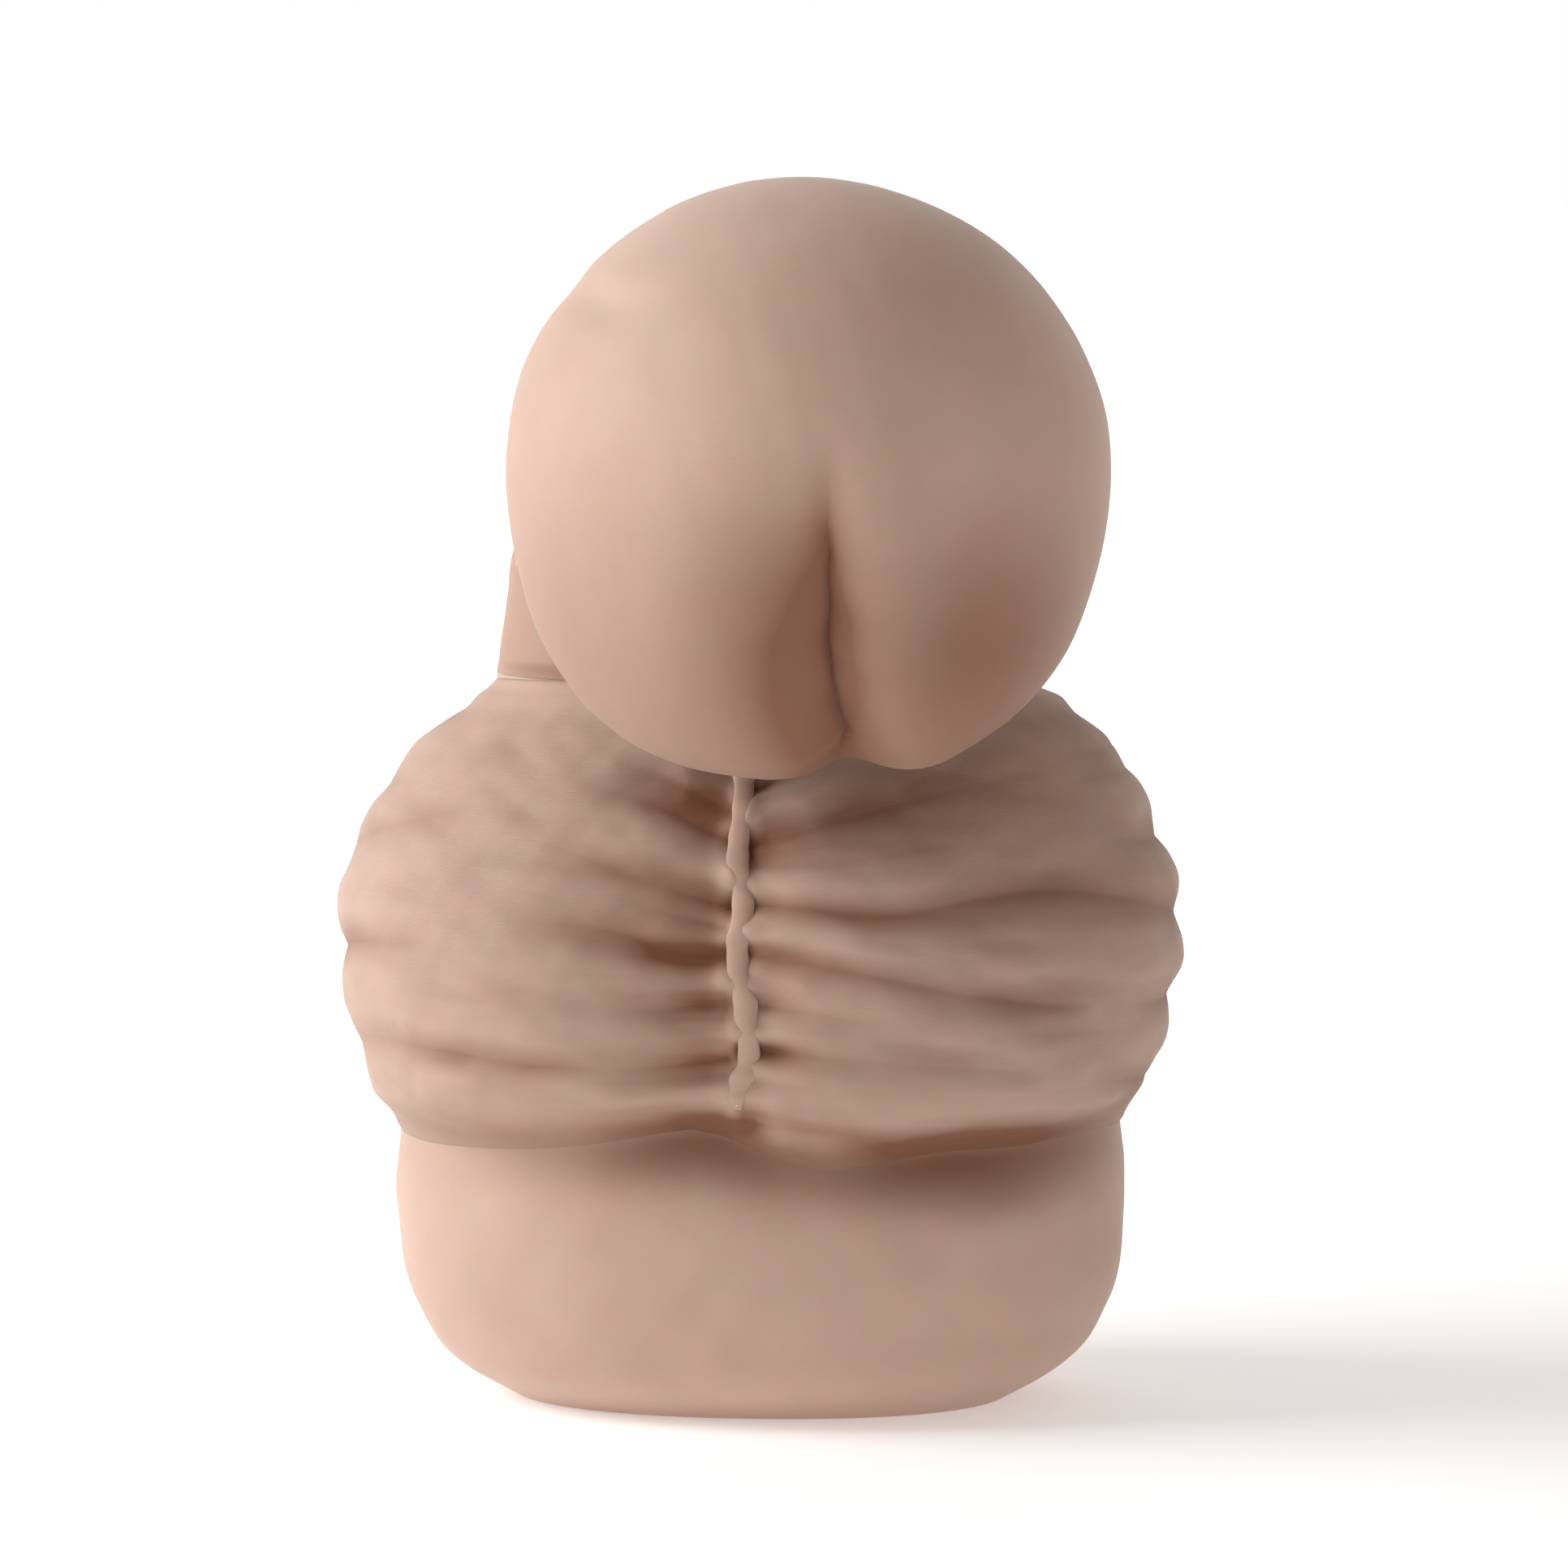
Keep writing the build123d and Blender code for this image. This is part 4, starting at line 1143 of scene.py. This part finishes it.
def make_stage():
    bpy.ops.mesh.primitive_plane_add(size=FLOOR_SIZE, location=(0, 0, -0.0005))
    floor = bpy.context.object
    floor.name = "floor"
    pale, tree, shader, place = new_material("pale_floor")
    set_inputs(shader, Base_Color=(0.95, 0.95, 0.95, 1), Roughness=0.9, Emission_Color=(1, 1, 1, 1))
    reach = tree.nodes.new("ShaderNodeVectorMath")
    reach.operation = "LENGTH"
    join(place, "Object", reach, 0)
    far = soft_range(tree, From_Min=0.5, From_Max=3.5, To_Min=FLOOR_GLOW[0], To_Max=FLOOR_GLOW[1])
    join(reach, "Value", far, "Value")
    join(far, "Result", shader, "Emission Strength")
    floor.data.materials.append(pale)
    world = bpy.context.scene.world or bpy.data.worlds.new("studio")
    bpy.context.scene.world = world
    world.use_nodes = True
    tree = world.node_tree
    background = tree.nodes["Background"]
    direction = tree.nodes.new("ShaderNodeTexCoord")
    split = tree.nodes.new("ShaderNodeSeparateXYZ")
    join(direction, "Generated", split, "Vector")
    behind = soft_range(tree, From_Min=0.2, From_Max=0.85)
    join(split, "Y", behind, "Value")
    mix = colour_mix(tree, B=(1.0, 1.0, 1.0, 1))
    sides = soft_range(tree, From_Min=-0.8, From_Max=0.8)
    join(split, "X", sides, "Value")
    room = colour_mix(tree, A=ROOM_LEFT, B=ROOM_RIGHT)
    join(sides, "Result", room, "Factor")
    join(room, "Result", mix, "A")
    join(behind, "Result", mix, "Factor")
    join(mix, "Result", background, "Color")
    background.inputs["Strength"].default_value = 1.0
    bpy.context.scene.view_settings.view_transform = "Standard"


def area_light(name, place, target, size, power, colour=(1, 1, 1)):
    data = bpy.data.lights.new(name, "AREA")
    data.shape = "RECTANGLE"
    data.size, data.size_y = size
    data.energy = power
    data.color = colour
    light = bpy.data.objects.new(name, data)
    light.location = place
    direction = np.array(target) - np.array(place)
    flat = np.hypot(direction[0], direction[1])
    light.rotation_euler = (np.arctan2(flat, -direction[2]), 0, np.arctan2(direction[1], direction[0]) - np.pi / 2)
    bpy.context.collection.objects.link(light)


def make_lights():
    area_light("key", (-2.45, -0.45, 1.6), (0, 0, 0.3), (1.7, 1.7), 78, (0.94, 0.98, 1.0))


# ---- the whole scene ----------------------------------------------------------------------------
make_camera()
make_stage()
make_lights()
finishes = make_finishes()
paint_cad(finishes)

torso_skin = make_torso_skin()
cover = make_cover()
strip, strip_elastic = make_strip()
hems = [
    make_band("top_hem_roll", "top_hem", skin_surface, top_edge, (3.4, 1.0), 1.5, 71),
    make_band("bottom_hem_roll", "bottom_hem", skin_surface, tuck_edge, (2.0, 0.35), 0.55, 75),
]
elastics = [
    strip_elastic,
    make_band("top_hem_elastic", "top_elastic", skin_surface, top_edge, (2.2, 0.4), 1.5, 71),
    make_band("bottom_hem_elastic", "bottom_elastic", skin_surface, tuck_edge, (1.2, 0.15), 0.55, 75),
]
pads = [
    make_pad(-1, "chest_pad_left_shaped", "chest_pad_left"),
    make_pad(1, "chest_pad_right_shaped", "chest_pad_right"),
]
neck, neck_foam = make_neck()
head, head_foam = make_head()
torso_foam = make_torso_foam()

paint([torso_skin, neck, head], finishes["skin"])
paint([cover, strip, *hems], finishes["cover"])
paint(elastics, finishes["elastic"])
paint([*pads, torso_foam, neck_foam, head_foam], finishes["foam"])
